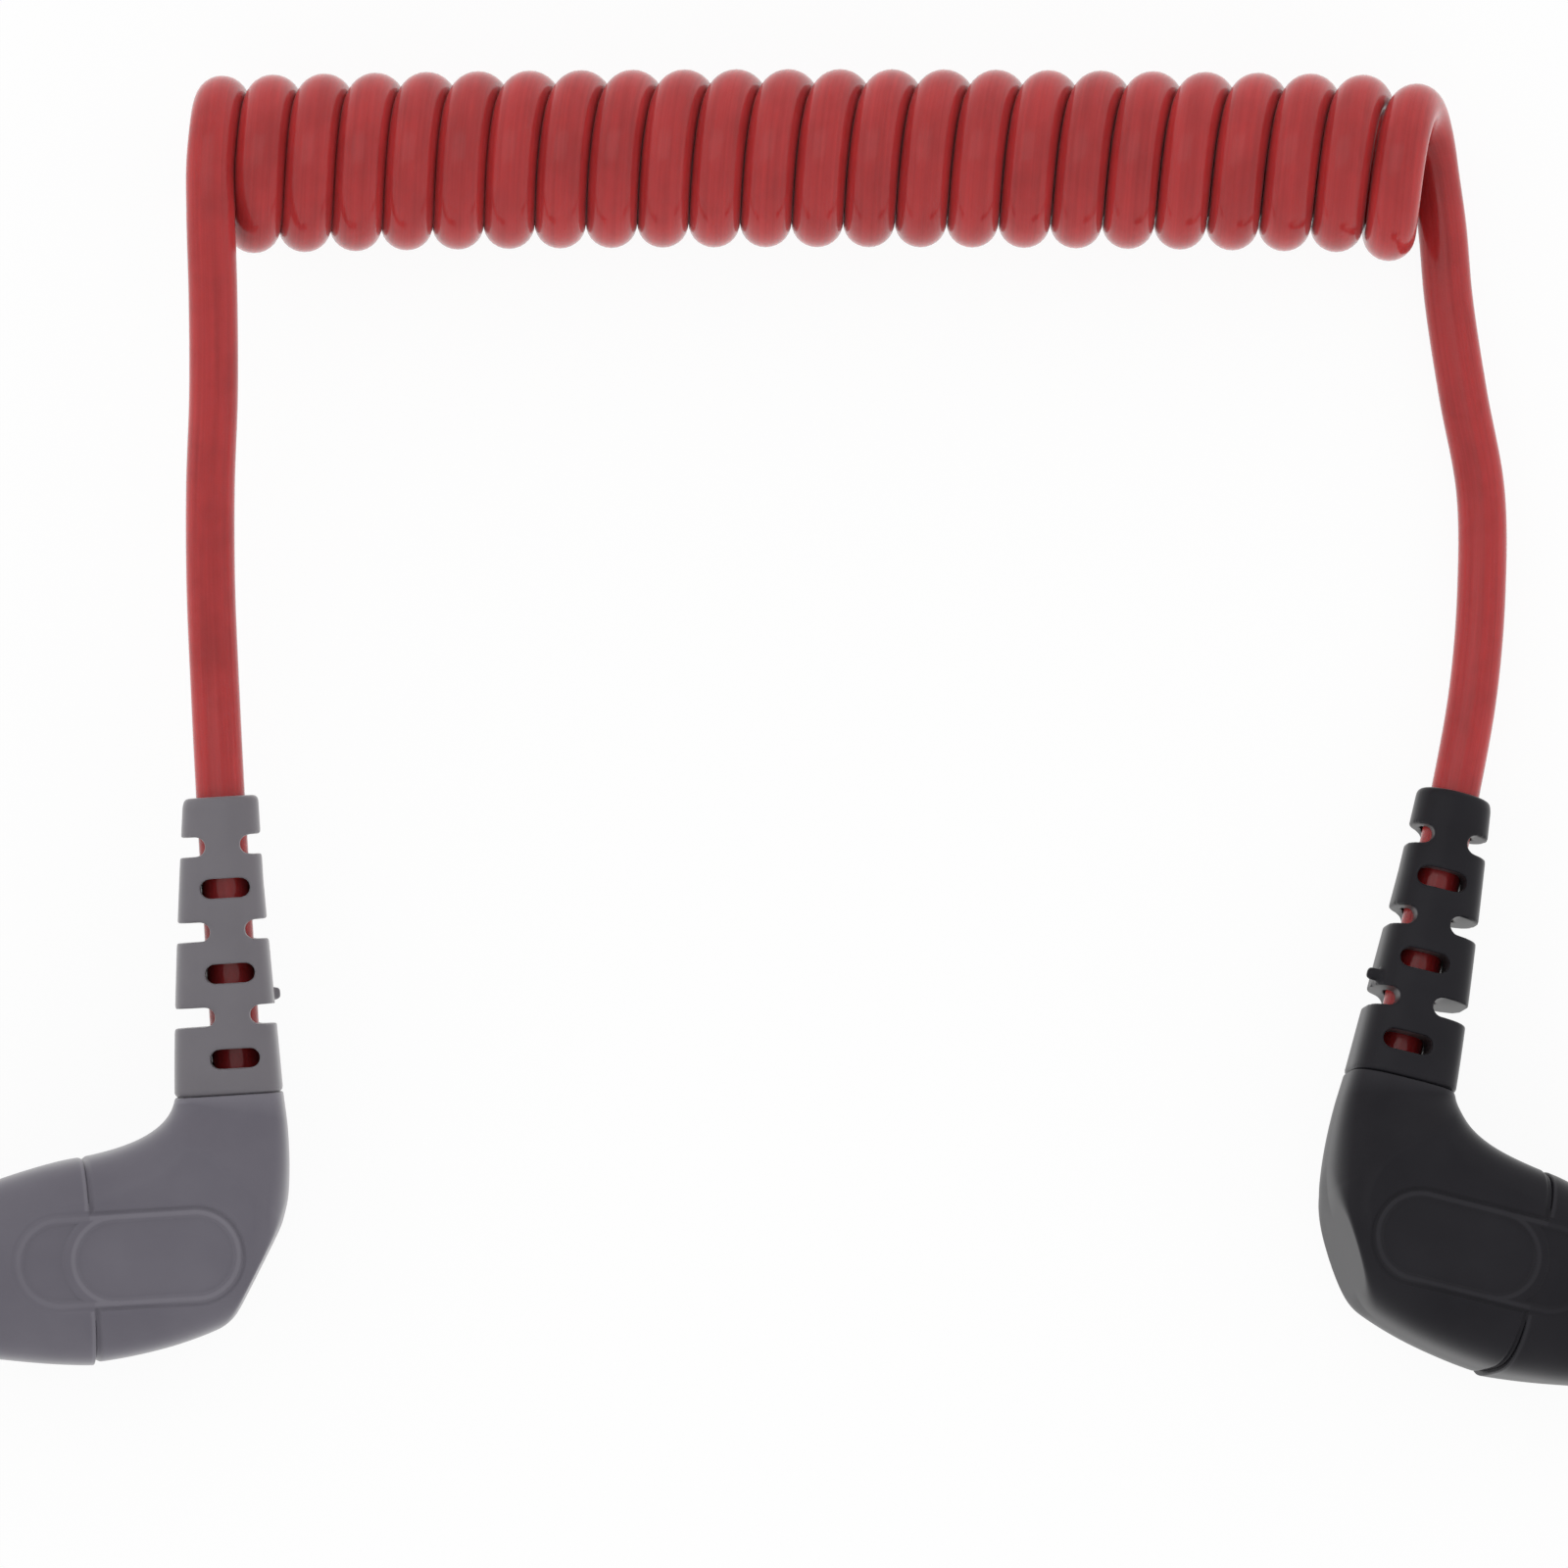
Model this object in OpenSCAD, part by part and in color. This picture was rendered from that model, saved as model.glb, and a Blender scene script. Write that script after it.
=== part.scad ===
// Coiled patch lead with two right-angle 3.5 mm jack plugs, all lengths in millimetres.
//
// The lead lies at rest on a flat surface at Z = 0, with +Z up. The coil's axis runs along X
// and both plugs lie towards -Y: the grey four-pole plug on the left (-X), and the black
// three-pole plug on the right (+X). The origin is on the surface, at the middle of the box
// that holds the two plugs.
//
// Each plug is drawn in its own frame: the jack's axis and the boot's axis cross at the
// origin, the jack points to -X, the boot to +Y, and the flat faces are square to Z.

/* [Cord] */
// Diameter of the cord's jacket
cord_d = 2.5; // [2.2:0.1:2.8]
// Diameter of one insulated conductor inside the cord
wire_d = 0.7; // [0.5:0.05:0.75]

/* [Coil] */
// Outer diameter of the coil
coil_d = 9.1; // [8:0.1:14]
// Air between one turn's jacket and the next, along the coil
turn_gap = 0.14; // [0.1:0.02:1]
// Whole turns in the coil, before its last half turn
coil_turns = 23; // [8:1:23]
// How far the middle of the coil bows away from the plugs
coil_bow = 0.35; // [0:0.05:1]
// Extra advance along the coil in the last half turn
last_advance = 0.1; // [0:0.1:2]
// How far the last turn sags towards the plugs
last_drop = 0.4; // [0:0.1:0.8]

/* [Jack] */
// Diameter of the jack's barrel
jack_d = 3.5; // [3.3:0.1:3.8]
// Length of the barrel, from its flange to the end of the tip
jack_l = 14; // [13:0.5:16]
// Length of the tip contact on the four-pole jack
tip_l_4 = 4; // [3.8:0.1:4.3]
// Length of each ring contact on the four-pole jack
ring_l_4 = 2.3; // [1.8:0.1:2.5]
// Length of the tip contact on the three-pole jack
tip_l_3 = 4.4; // [4:0.1:5]
// Length of the ring contact on the three-pole jack
ring_l_3 = 2.8; // [2:0.1:3.2]
// Width of an insulating band between two contacts
band_l = 0.75; // [0.5:0.05:0.9]
// Diameter of the rod that carries the tip
rod_d = 0.9; // [0.7:0.05:1]
// Wall of each nested tube inside the barrel
tube_wall = 0.16; // [0.1:0.02:0.18]
// Radial air between nested tubes
tube_gap = 0.02; // [0.01:0.01:0.03]
// Diameter of the flange behind the barrel
flange_d = 6; // [5:0.1:7]
// Thickness of the flange
flange_t = 0.8; // [0.5:0.1:1.2]
// Diameter of the sleeve's anchor inside the housing
anchor_d = 4.6; // [4.2:0.1:5]
// Length of that anchor
anchor_l = 2.7; // [2.2:0.1:3.2]

/* [Housing] */
// Thickness of the housing between its two flat faces
housing_t = 9; // [8:0.1:11]
// Height of the housing where the elbow meets the front collar
seam_h = 10.45; // [10:0.05:11.5]
// How far the housing rises above the jack's axis at that seam, towards the boot
seam_rise = 5.65; // [5.2:0.05:6]
// Distance from the boot's axis to the seam between elbow and collar
front_seam = 8.3; // [7.6:0.1:9]
// Distance from the boot's axis to the front face of the collar
nose_reach = 15.2; // [14.8:0.1:18]
// Diameter of the collar's front face
nose_d = 7.9; // [7:0.1:9]
// Distance from the jack's axis to the seam between elbow and boot
boot_seam = 8.4; // [8:0.1:10]
// Radius of the path on which the conductors turn the corner
corner_r = 4; // [3.8:0.1:4.2]
// Length of the blank oval panel on each flat face
panel_l = 11.5; // [10:0.1:12]
// Height of that panel, over its rim
panel_h = 4.65; // [4:0.05:5]
// Width of the panel's rim
panel_rim = 0.4; // [0.25:0.05:0.6]
// How deep the panel's floor lies
panel_depth = 0.2; // [0.1:0.05:0.3]

/* [Boot] */
// Length of the slotted boot
boot_l = 15.2; // [15:0.1:18]
// Width of the boot at its mouth
mouth_w = 3.85; // [3.7:0.05:4.5]
// Reach of the boot's root towards the jack, from the boot's axis
root_inside = 3.25; // [3:0.05:3.5]
// Reach of the boot's root away from the jack
root_outside = 2.27; // [2.2:0.01:2.6]
// Thickness of the boot at its root
root_t = 6; // [5.4:0.1:7]
// Distance from one slot to the next
slot_pitch = 2.17; // [2:0.01:2.3]
// Width of a slot along the boot
slot_w = 1; // [0.7:0.05:1.1]
// Length of a window slot
slot_l = 2.55; // [2.2:0.05:2.7]
// Width of the neck between two side slots
neck_w = 1.75; // [1.4:0.05:2]

/* [Fits] */
// Radial air round what sits in the plug's mouldings
seat_gap = 0.05; // [0.02:0.01:0.1]

/* [Hidden] */
$fn = 48;
eps = 0.01;

// Colours
cord_red = "#A84848";
grey_plastic = "#66636C";
grey_rubber = "#756E72";
black_plastic = "#28272C";
black_rubber = "#2D2C31";
gold_plate = "#D4AF62";
insulator_black = "#2A2A2C";
core_white = "#D9D6CC";
wire_colours = ["#B23A32", "#3C7A4B", "#D8D4C8", "#8C6A4A"];

// Where each plug lies: the crossing of its two axes, and its turns about X, Y and Z. The
// grey plug lies flat. The black one points the other way and rests on its collar, with its
// elbow raised and both arms dipping.
grey_at = [-27.67, -8.18, housing_t / 2];
grey_turns = [0, 0, 3.5];
black_at = [28.69, -7.28, 6.08];
black_turns = [-9.4, 7.2, -14.2];

// ---- The jack, along its own axis: "s" counts from the end of the tip towards the housing

jack_reach = nose_reach + flange_t + jack_l;
anchor_rear = nose_reach - anchor_l;
anchor_groove = 0.3;

// The tip contact: a cone up to a crest, then down to a waist and up a shoulder to a full land
tip_nose_r = 0.35;
tip_crest_r = 0.93 * jack_d / 2;
tip_crest_s = 1.35;
tip_crest_round = 0.35;
tip_crest_l = 0.4;
tip_waist_r = 0.7 * jack_d / 2;
tip_waist_l = 0.25;
tip_shoulder_l = 0.55;
tip_land_l = 0.45;

// The solder lugs, each at the end of a strip from its contact's tube, all end together
lug_l = 1.6;
lug_w = 0.6;
lug_end = 8.2;
tail_step = 0.8;
strip_lap = tail_step / 4;
sleeve_strip_r = 1.8;

// Four conductors lie square round the cord's axis
wire_offset = 0.6 * wire_d;
bundle_r = sqrt(2) * wire_offset + wire_d / 2;

function tip_l(poles) = poles == 4 ? tip_l_4 : tip_l_3;
function ring_l(poles) = poles == 4 ? ring_l_4 : ring_l_3;

// Outer radius of the rod (k = 0) or of the tube that carries contact k
function shell_r(k) = rod_d / 2 + 2 * k * (tube_wall + tube_gap);

// Where contact k's outer band starts and ends, and where its inner tube ends
function band_start(poles, k) = k == 0 ? 0 : tip_l(poles) + band_l + (k - 1) * (ring_l(poles) + band_l);
function band_end(poles, k) = band_start(poles, k) + (k == 0 ? tip_l(poles) : ring_l(poles));
function tail_end(poles, k) = jack_reach - anchor_rear + (poles - 1 - k) * tail_step;

// ---- Small tools

function mix(a, b, t) = a + (b - a) * t;
function ease(t) = t * t * (3 - 2 * t);
function clamp01(t) = min(1, max(0, t));
function signed_power(v, e) = sign(v) * pow(abs(v), e);

// A curve from a to c that leaves a and reaches c in line with b
function bend(a, b, c, t) = mix(mix(a, b, t), mix(b, c, t), t);

// Faces of a skin over "rings" rings of "sides" points each, closed at both ends. Each ring
// runs clockwise for someone who looks along the row of rings.
function skin_faces(rings, sides) = concat(
    [[for (i = [0:sides - 1]) i]],
    [for (k = [0:rings - 2], i = [0:sides - 1])
        let (a = k * sides + i, b = k * sides + (i + 1) % sides)
        each [[a, a + sides, b], [b, a + sides, b + sides]]],
    [[for (i = [sides - 1:-1:0]) (rings - 1) * sides + i]]
);

module skin(rings) {
    polyhedron(
        points = [for (ring = rings) each ring],
        faces = skin_faces(len(rings), len(rings[0])),
        convexity = 8
    );
}

// A closed section between outline points p and q, square to the flat faces: an oval that
// is squarer for a higher "squareness"
loft_sides = 28;
function section(p, q, half_t, squareness) = [
    for (i = [0:loft_sides - 1])
        let (
            a = 360 * i / loft_sides,
            across = signed_power(cos(a), 2 / squareness),
            up = signed_power(sin(a), 2 / squareness),
            centre = (p + q) / 2,
            half = (q - p) / 2
        )
        [centre.x + half.x * across, centre.y + half.y * across, half_t * up]
];

module along_x(from, to, r) {
    translate([from, 0, 0]) rotate([0, 90, 0]) cylinder(h = to - from, r = r);
}

module along_y(from, to, r) {
    translate([0, from, 0]) rotate([-90, 0, 0]) cylinder(h = to - from, r = r);
}

// A round duct from the jack's axis round the corner and up the boot's axis. "inset" moves
// it towards the inside of the corner.
module duct(r, from_x, to_y, inset = 0) {
    translate([0, inset, 0]) along_x(from_x, -corner_r, r);
    translate([-corner_r, corner_r, 0]) rotate([0, 0, -90])
        rotate_extrude(angle = 90) translate([corner_r - inset, 0]) circle(r = r);
    translate([-inset, 0, 0]) along_y(corner_r, to_y, r);
}

// An outline with two round ends, along X
module slot_shape(l, h) {
    square([l - h, h], center = true);
    for (side = [-1, 1]) translate([side * (l - h) / 2, 0]) circle(d = h);
}

// ---- Jack pieces

// Puts a profile of [radius, s] points round the jack's axis
module turned(profile) {
    translate([-jack_reach, 0, 0]) rotate([0, 90, 0]) rotate_extrude() polygon(profile);
}

function tube_profile(inner, outer, from, to) = [[inner, from], [outer, from], [outer, to], [inner, to]];

// The strip and lug that take contact k's wire, in its own quarter round the axis
module terminal(poles, k, strip_r) {
    strip_start = k == 0 ? jack_reach - lug_end - lug_l : tail_end(poles, k) - strip_lap;
    lug_in = k == 0 ? 0 : rod_d / 2 + tube_wall;
    translate([-jack_reach, 0, 0]) rotate([45 + 90 * k, 0, 0]) {
        translate([strip_start, strip_r - tube_wall, -lug_w / 2])
            cube([jack_reach - lug_end - strip_start, tube_wall, lug_w]);
        translate([jack_reach - lug_end - lug_l, lug_in, -lug_w / 2])
            cube([lug_l, strip_r - lug_in, lug_w]);
    }
}

module jack_tip(poles) {
    r = jack_d / 2;
    l = tip_l(poles);
    shoulder = l - tip_land_l - tip_shoulder_l;
    color(gold_plate) union() {
        turned([
            [0, 0], [tip_nose_r, 0],
            [tip_crest_r - tip_crest_round, tip_crest_s - 2 * tip_crest_round],
            [tip_crest_r, tip_crest_s], [tip_crest_r, tip_crest_s + tip_crest_l],
            [tip_waist_r, shoulder - tip_waist_l], [tip_waist_r, shoulder],
            [r, l - tip_land_l], [r, l],
            [rod_d / 2, l], [rod_d / 2, jack_reach - lug_end], [0, jack_reach - lug_end]
        ]);
        terminal(poles, 0, rod_d);
    }
}

module jack_ring(poles, k) {
    inner = shell_r(k) - tube_wall;
    color(gold_plate) union() {
        turned([
            [inner, band_start(poles, k)], [jack_d / 2, band_start(poles, k)], [jack_d / 2, band_end(poles, k)],
            [shell_r(k), band_end(poles, k)], [shell_r(k), tail_end(poles, k)], [inner, tail_end(poles, k)]
        ]);
        terminal(poles, k, shell_r(k));
    }
}

// The insulator that lies outside contact k
module jack_insulator(poles, k) {
    inner = shell_r(k) + tube_gap;
    outer = inner + tube_wall;
    tail = tail_end(poles, k) - tail_step / 2;
    color(insulator_black) turned([
        [inner, band_end(poles, k)], [jack_d / 2, band_end(poles, k)],
        [jack_d / 2, band_end(poles, k) + band_l], [outer, band_end(poles, k) + band_l],
        [outer, tail], [inner, tail]
    ]);
}

module jack_sleeve(poles) {
    k = poles - 1;
    inner = shell_r(k) - tube_wall;
    rear = jack_l + flange_t;
    color(gold_plate) union() {
        turned([
            [inner, band_start(poles, k)], [jack_d / 2, band_start(poles, k)], [jack_d / 2, jack_l],
            [flange_d / 2, jack_l], [flange_d / 2, rear], [anchor_d / 2, rear],
            [anchor_d / 2, rear + anchor_l / 3], [anchor_d / 2 - anchor_groove, rear + anchor_l / 3],
            [anchor_d / 2 - anchor_groove, rear + 2 * anchor_l / 3], [anchor_d / 2, rear + 2 * anchor_l / 3],
            [anchor_d / 2, rear + anchor_l], [inner, rear + anchor_l]
        ]);
        terminal(poles, k, sleeve_strip_r);
    }
}

// The conductor soldered to contact k, in the same quarter round the axis as its lug
module conductor(k, tint) {
    side = [[1, 1], [-1, 1], [-1, -1], [1, -1]][k];
    color(tint) translate([0, 0, side.y * wire_offset])
        duct(wire_d / 2, -lug_end, lead_end, side.x * wire_offset);
}

// ---- Inside the housing

chamber_r = sleeve_strip_r + 0.15;
core_wall = 0.65;
core_front_r = chamber_r + core_wall;
core_step = 5.6;
duct_wall = 0.5;
duct_r = bundle_r + seat_gap;
core_r = duct_r + duct_wall;
clamp_l = 2;
clamp_wall = 0.3;
clamp_split = 0.4;
clamp_inset = 0.1;
clamp_r = cord_d / 2 + seat_gap + clamp_wall;
lead_end = boot_seam - clamp_l - clamp_inset;

// The core's outer form, with "air" round it for the space that it fills
module core_form(air) {
    along_x(-anchor_rear, -core_step + air, core_front_r + air);
    duct(core_r + air, -core_step, lead_end);
}

module inner_core() {
    color(core_white) difference() {
        core_form(0);
        along_x(-anchor_rear - eps, -lug_end, chamber_r);
        duct(duct_r, -lug_end - eps, lead_end + eps);
    }
}

// The crimp that grips the end of the cord's jacket
module cable_clamp() {
    color(gold_plate) difference() {
        along_y(lead_end, lead_end + clamp_l, clamp_r);
        along_y(lead_end - eps, lead_end + clamp_l + eps, cord_d / 2 + seat_gap);
        translate([-clamp_r - eps, lead_end - eps, -clamp_split / 2])
            cube([clamp_r, clamp_l + 2 * eps, clamp_split]);
    }
}

// ---- The mouldings

squareness = 3.4;
round_squareness = 2.2;
crown = 0.25;
full_half_t = housing_t / 2 + crown;
inside_sweep = 1.4;
swell_rate = 2.2;
collar_taper = 1.4;
collar_proud = 0.05;

// The blank panel, centred between the seam's two ends, and the tongues that carry it
panel_x = -5.95;
panel_y = seam_rise - seam_h / 2;
groove_w = 0.2;
tongue_t = 0.8;
tongue_reach = 0.85;
tongue_x = -front_seam - tongue_reach + panel_h / 2;

// Elbow outline, in the plug's frame
root_in = [-root_inside, boot_seam];
root_out = [root_outside, boot_seam];
seam_in = [-front_seam, seam_rise];
seam_out = [-front_seam, seam_rise - seam_h];
inside_corner = [-3.6, 6.3];
side_bulge = [2.6, 4.9];
chamfer_top = [2.03, 2.05];
chamfer_corner = [1.7, -2.05];
chamfer_low = [-1.04, -3.22];
under_bulge = [-4.1, -4.55];

function elbow_inside(t) = bend(root_in, inside_corner, seam_in, pow(t, inside_sweep));
function elbow_outside(t) =
    t < 1 / 3 ? bend(root_out, side_bulge, chamfer_top, 3 * t) :
    t < 2 / 3 ? bend(chamfer_top, chamfer_corner, chamfer_low, 3 * t - 1) :
    bend(chamfer_low, under_bulge, seam_out, 3 * t - 2);
function elbow_half_t(t) = mix(root_t / 2, full_half_t, ease(clamp01(swell_rate * t)));

elbow_rings = 18;
collar_rings = 6;
boot_rings = 5;

// The boot's slots are counted from its mouth, notches first
slot_count = 6;
first_slot = 2.5;
mouth_edge_r = 0.45;
mouth_y = boot_seam + boot_l;
inside_taper = 1.25;
outside_taper = 1.4;
nub_at = [13.4, -1.6];
nub_d = 0.6;
nub_l = 0.65;

// Keeps what lies between the two flat faces
module between_flats() {
    intersection() {
        children();
        cube([8 * nose_reach, 8 * nose_reach, housing_t], center = true);
    }
}

// Cuts the blank panel's floor, and the fine groove outside its rim, on both flat faces
module panel_cuts() {
    for (side = [0, 1]) translate([panel_x, panel_y, 0]) mirror([0, 0, side]) {
        translate([0, 0, housing_t / 2 - panel_depth]) linear_extrude(2 * panel_depth)
            slot_shape(panel_l - 2 * panel_rim, panel_h - 2 * panel_rim);
        translate([0, 0, housing_t / 2 - panel_depth / 2]) linear_extrude(panel_depth) difference() {
            slot_shape(panel_l + 2 * groove_w, panel_h + 2 * groove_w);
            slot_shape(panel_l, panel_h);
        }
    }
}

// The round-ended tongues that carry the panel over the front seam
module tongues(air) {
    for (side = [0, 1]) mirror([0, 0, side])
        translate([tongue_x, panel_y, housing_t / 2 - tongue_t - air])
            cylinder(d = panel_h + 2 * air, h = tongue_t + air);
}

module elbow_cover() {
    run = chamfer_low - chamfer_top;
    difference() {
        union() {
            between_flats() skin([
                for (i = [0:elbow_rings])
                    let (t = i / elbow_rings)
                    section(elbow_inside(t), elbow_outside(t), elbow_half_t(t), squareness)
            ]);
            tongues(0);
        }
        core_form(seat_gap);
        along_y(lead_end, boot_seam + eps, clamp_r + seat_gap);
        translate([chamfer_top.x, chamfer_top.y, -housing_t]) rotate([0, 0, atan2(run.y, run.x)])
            translate([-norm(run), 0, 0]) cube([3 * norm(run), norm(run), 2 * housing_t]);
        panel_cuts();
    }
}

// The collar goes from the squarish seam section to a round front face
module front_collar() {
    length = nose_reach - front_seam;
    difference() {
        between_flats() skin([
            for (i = [0:collar_rings])
                let (
                    t = i / collar_rings,
                    taper = pow(t, collar_taper),
                    x = -front_seam - length * t,
                    half_h = mix(seam_h / 2 + collar_proud, nose_d / 2, taper),
                    middle = mix(panel_y, 0, taper)
                )
                section(
                    [x, middle + half_h], [x, middle - half_h],
                    mix(full_half_t, nose_d / 2, taper), mix(squareness, 2, t)
                )
        ]);
        along_x(-nose_reach - eps, -anchor_rear + eps, anchor_d / 2 + seat_gap);
        along_x(-anchor_rear, -front_seam + eps, core_front_r + seat_gap);
        tongues(seat_gap);
        panel_cuts();
    }
}

// The boot tapers from its root to a rounded mouth, and its slots alternate: the cord shows
// through windows in the flat faces, then through notches in the two sides
module strain_relief() {
    levels = concat(
        [for (i = [0:boot_rings - 1]) [i / (boot_rings - 1) * (1 - mouth_edge_r / boot_l), 0]],
        [for (a = [45, 90]) [1 - (1 - sin(a)) * mouth_edge_r / boot_l, (1 - cos(a)) * mouth_edge_r]]
    );
    difference() {
        union() {
            skin([
                for (level = levels)
                    let (
                        t = level[0],
                        y = boot_seam + boot_l * t,
                        inside = mix(root_inside, mouth_w / 2, pow(t, inside_taper)) - level[1],
                        outside = mix(root_outside, mouth_w / 2, clamp01(outside_taper * t)) - level[1],
                        half_t = mix(root_t / 2, mouth_w / 2, t) - level[1]
                    )
                    section([outside, y], [-inside, y], half_t, mix(squareness, round_squareness, t))
            ]);
            translate([mouth_w / 2 - nub_d / 2, nub_at.x, nub_at.y])
                rotate([0, 90, 0]) cylinder(d = nub_d, h = nub_l + nub_d / 2);
        }
        along_y(boot_seam - eps, mouth_y + eps, cord_d / 2 + seat_gap);
        for (i = [0:slot_count - 1]) translate([0, mouth_y - first_slot - i * slot_pitch, 0]) {
            if (i % 2 == 1)
                linear_extrude(2 * root_t, center = true) slot_shape(slot_l, slot_w);
            else
                for (side = [-1, 1]) translate([side * (neck_w / 2 + slot_l), 0, 0])
                    linear_extrude(2 * root_t, center = true) slot_shape(2 * slot_l, slot_w);
        }
    }
}

// ---- Placing the plugs

module place_grey() {
    translate(grey_at) rotate(grey_turns) children();
}

module place_black() {
    translate(black_at) rotate(black_turns) rotate([0, 180, 0]) children();
}

// The same turns for one point: about X, then Y, then Z
function turn_x(p, a) = [p.x, p.y * cos(a) - p.z * sin(a), p.y * sin(a) + p.z * cos(a)];
function turn_y(p, a) = [p.x * cos(a) + p.z * sin(a), p.y, p.z * cos(a) - p.x * sin(a)];
function turn_z(p, a) = [p.x * cos(a) - p.y * sin(a), p.x * sin(a) + p.y * cos(a), p.z];
function turn(p, angles) = turn_z(turn_y(turn_x(p, angles.x), angles.y), angles.z);
function grey_point(p) = grey_at + turn(p, grey_turns);
function black_point(p) = black_at + turn([-p.x, p.y, -p.z], black_turns);

// ---- Cord and coil

coil_r = (coil_d - cord_d) / 2;
coil_pitch = cord_d + turn_gap;
coil_x = -29.5;
coil_y = 47.6;
coil_z = coil_d / 2;
first_lean = -0.05;
last_lean = 0.01;
turn_tilt = -0.1;
tilt_grows_over = 6;
crowding = 0.25;
drop_from = 22.2;
drop_over = 0.55;
rings_per_turn = 8;
first_run = [0, -cord_d, 0];
last_run = [0.35, -cord_d, 0];
half_turns_end = coil_turns + 0.5;
coil_length = coil_pitch * half_turns_end;

// The solid coil's turns are drawn in along X, so that neighbouring turns stay apart
solid_gap = 0.6;
turn_half_w = (coil_pitch - solid_gap) / 2;

// A point on the coil's centreline, "t" turns from the grey lead, at "r" from the coil's
// axis. It starts on top and climbs away from the plugs. The turns lean sideways, tilt with
// their tops towards the grey lead and crowd a little on that side, and the last one sags
// towards the plugs.
function coil_point(t, r) =
    let (
        along = coil_pitch * t + last_advance * ease(clamp01(2 * (t - coil_turns))),
        across = r * sin(360 * t),
        up = r * cos(360 * t),
        lean = mix(first_lean, last_lean, t / half_turns_end),
        tilt = turn_tilt * clamp01(t / tilt_grows_over),
        from_middle = 2 * along / coil_length - 1,
        arch = 1 - from_middle * from_middle,
        drop = last_drop * ease(clamp01((t - drop_from) / drop_over))
    )
    [
        coil_x + along - crowding * arch + lean * across + tilt * up,
        coil_y + coil_bow * arch - drop + across,
        coil_z + up
    ];

// Six points round the coil's cord at turn t: a crown outwards, a crown inwards, and flats
// that face the neighbouring turns. "shift" moves the ring on, past the coil's end.
function turn_ring(t, shift = [0, 0, 0]) = [
    for (p = [[1, 0], [0.5, 1], [-0.5, 1], [-1, 0], [-0.5, -1], [0.5, -1]])
        coil_point(t, coil_r + p[0] * cord_d / 2) + [p[1] * turn_half_w, 0, 0] + shift
];

coil_rings = concat(
    [turn_ring(0, first_run)],
    [for (i = [0:rings_per_turn * half_turns_end]) turn_ring(i / rings_per_turn)],
    [turn_ring(half_turns_end, last_run)]
);

// Route of the grey lead from the coil down to the boot's mouth
grey_route = [
    [-29.4, 41, 7.5], [-29.4, 36, 6.5], [-29.6, 31, 5.3], [-29.6, 26, 4.5], [-29.4, 21, 4.3]
];
// Route of the black lead, along the surface and up to the boot's mouth
black_route = [
    [33.65, 41, 1.3], [34.4, 36, 1.35], [35.3, 31, 1.35], [35.35, 26, 1.35], [34.95, 21, 1.45]
];
coil_start = coil_point(0, coil_r) + first_run;
coil_end = coil_point(half_turns_end, coil_r) + last_run;
in_boot = [for (y = [mouth_y, mouth_y - boot_l / 3, mouth_y - 2 * boot_l / 3, lead_end]) [0, y, 0]];
grey_path = concat([coil_start], grey_route, [for (p = in_boot) grey_point(p)]);
black_path = concat([coil_end], black_route, [for (p = in_boot) black_point(p)]);

function unit(v) = v / norm(v);

// Direction of a path at its point i. It leaves the coil along -Y.
function heading(path, i) =
    i == 0 ? [0, -1, 0] :
    i == len(path) - 1 ? unit(path[i] - path[i - 1]) :
    unit(unit(path[i] - path[i - 1]) + unit(path[i + 1] - path[i]));

lead_sides = 8;
function lead_ring(path, i) =
    let (
        ahead = heading(path, i),
        right = unit(cross(ahead, [0, 0, 1])),
        up = cross(right, ahead)
    )
    [for (k = [0:lead_sides - 1])
        let (a = 360 * (k + 0.5) / lead_sides)
        path[i] + cord_d / 2 * (sin(a) * right + cos(a) * up)];

module lead(path) {
    color(cord_red) skin([for (i = [0:len(path) - 1]) lead_ring(path, i)]);
}

module coil() {
    color(cord_red) skin(coil_rings);
}

// Least distance between two points of turns that lie beside each other
least_gap = min([
    for (i = [0:len(coil_rings) - rings_per_turn + 1])
        for (j = [i + rings_per_turn - 3:min(len(coil_rings) - 1, i + rings_per_turn + 3)])
            for (p = coil_rings[i], q = coil_rings[j]) norm(p - q)
]);
echo(least_gap_of_coil_to_itself = least_gap);

// ---- The pieces by name

module grey_jack_tip() { place_grey() jack_tip(4); }
module grey_tip_insulator() { place_grey() jack_insulator(4, 0); }
module grey_jack_ring_front() { place_grey() jack_ring(4, 1); }
module grey_front_ring_insulator() { place_grey() jack_insulator(4, 1); }
module grey_jack_ring_rear() { place_grey() jack_ring(4, 2); }
module grey_rear_ring_insulator() { place_grey() jack_insulator(4, 2); }
module grey_jack_sleeve() { place_grey() jack_sleeve(4); }
module grey_wire_tip() { place_grey() conductor(0, wire_colours[0]); }
module grey_wire_ring_front() { place_grey() conductor(1, wire_colours[1]); }
module grey_wire_ring_rear() { place_grey() conductor(2, wire_colours[2]); }
module grey_wire_sleeve() { place_grey() conductor(3, wire_colours[3]); }
module grey_inner_core() { place_grey() inner_core(); }
module grey_cable_clamp() { place_grey() cable_clamp(); }
module grey_front_collar() { color(grey_plastic) place_grey() front_collar(); }
module grey_elbow_cover() { color(grey_plastic) place_grey() elbow_cover(); }
module grey_strain_relief() { color(grey_rubber) place_grey() strain_relief(); }

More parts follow.
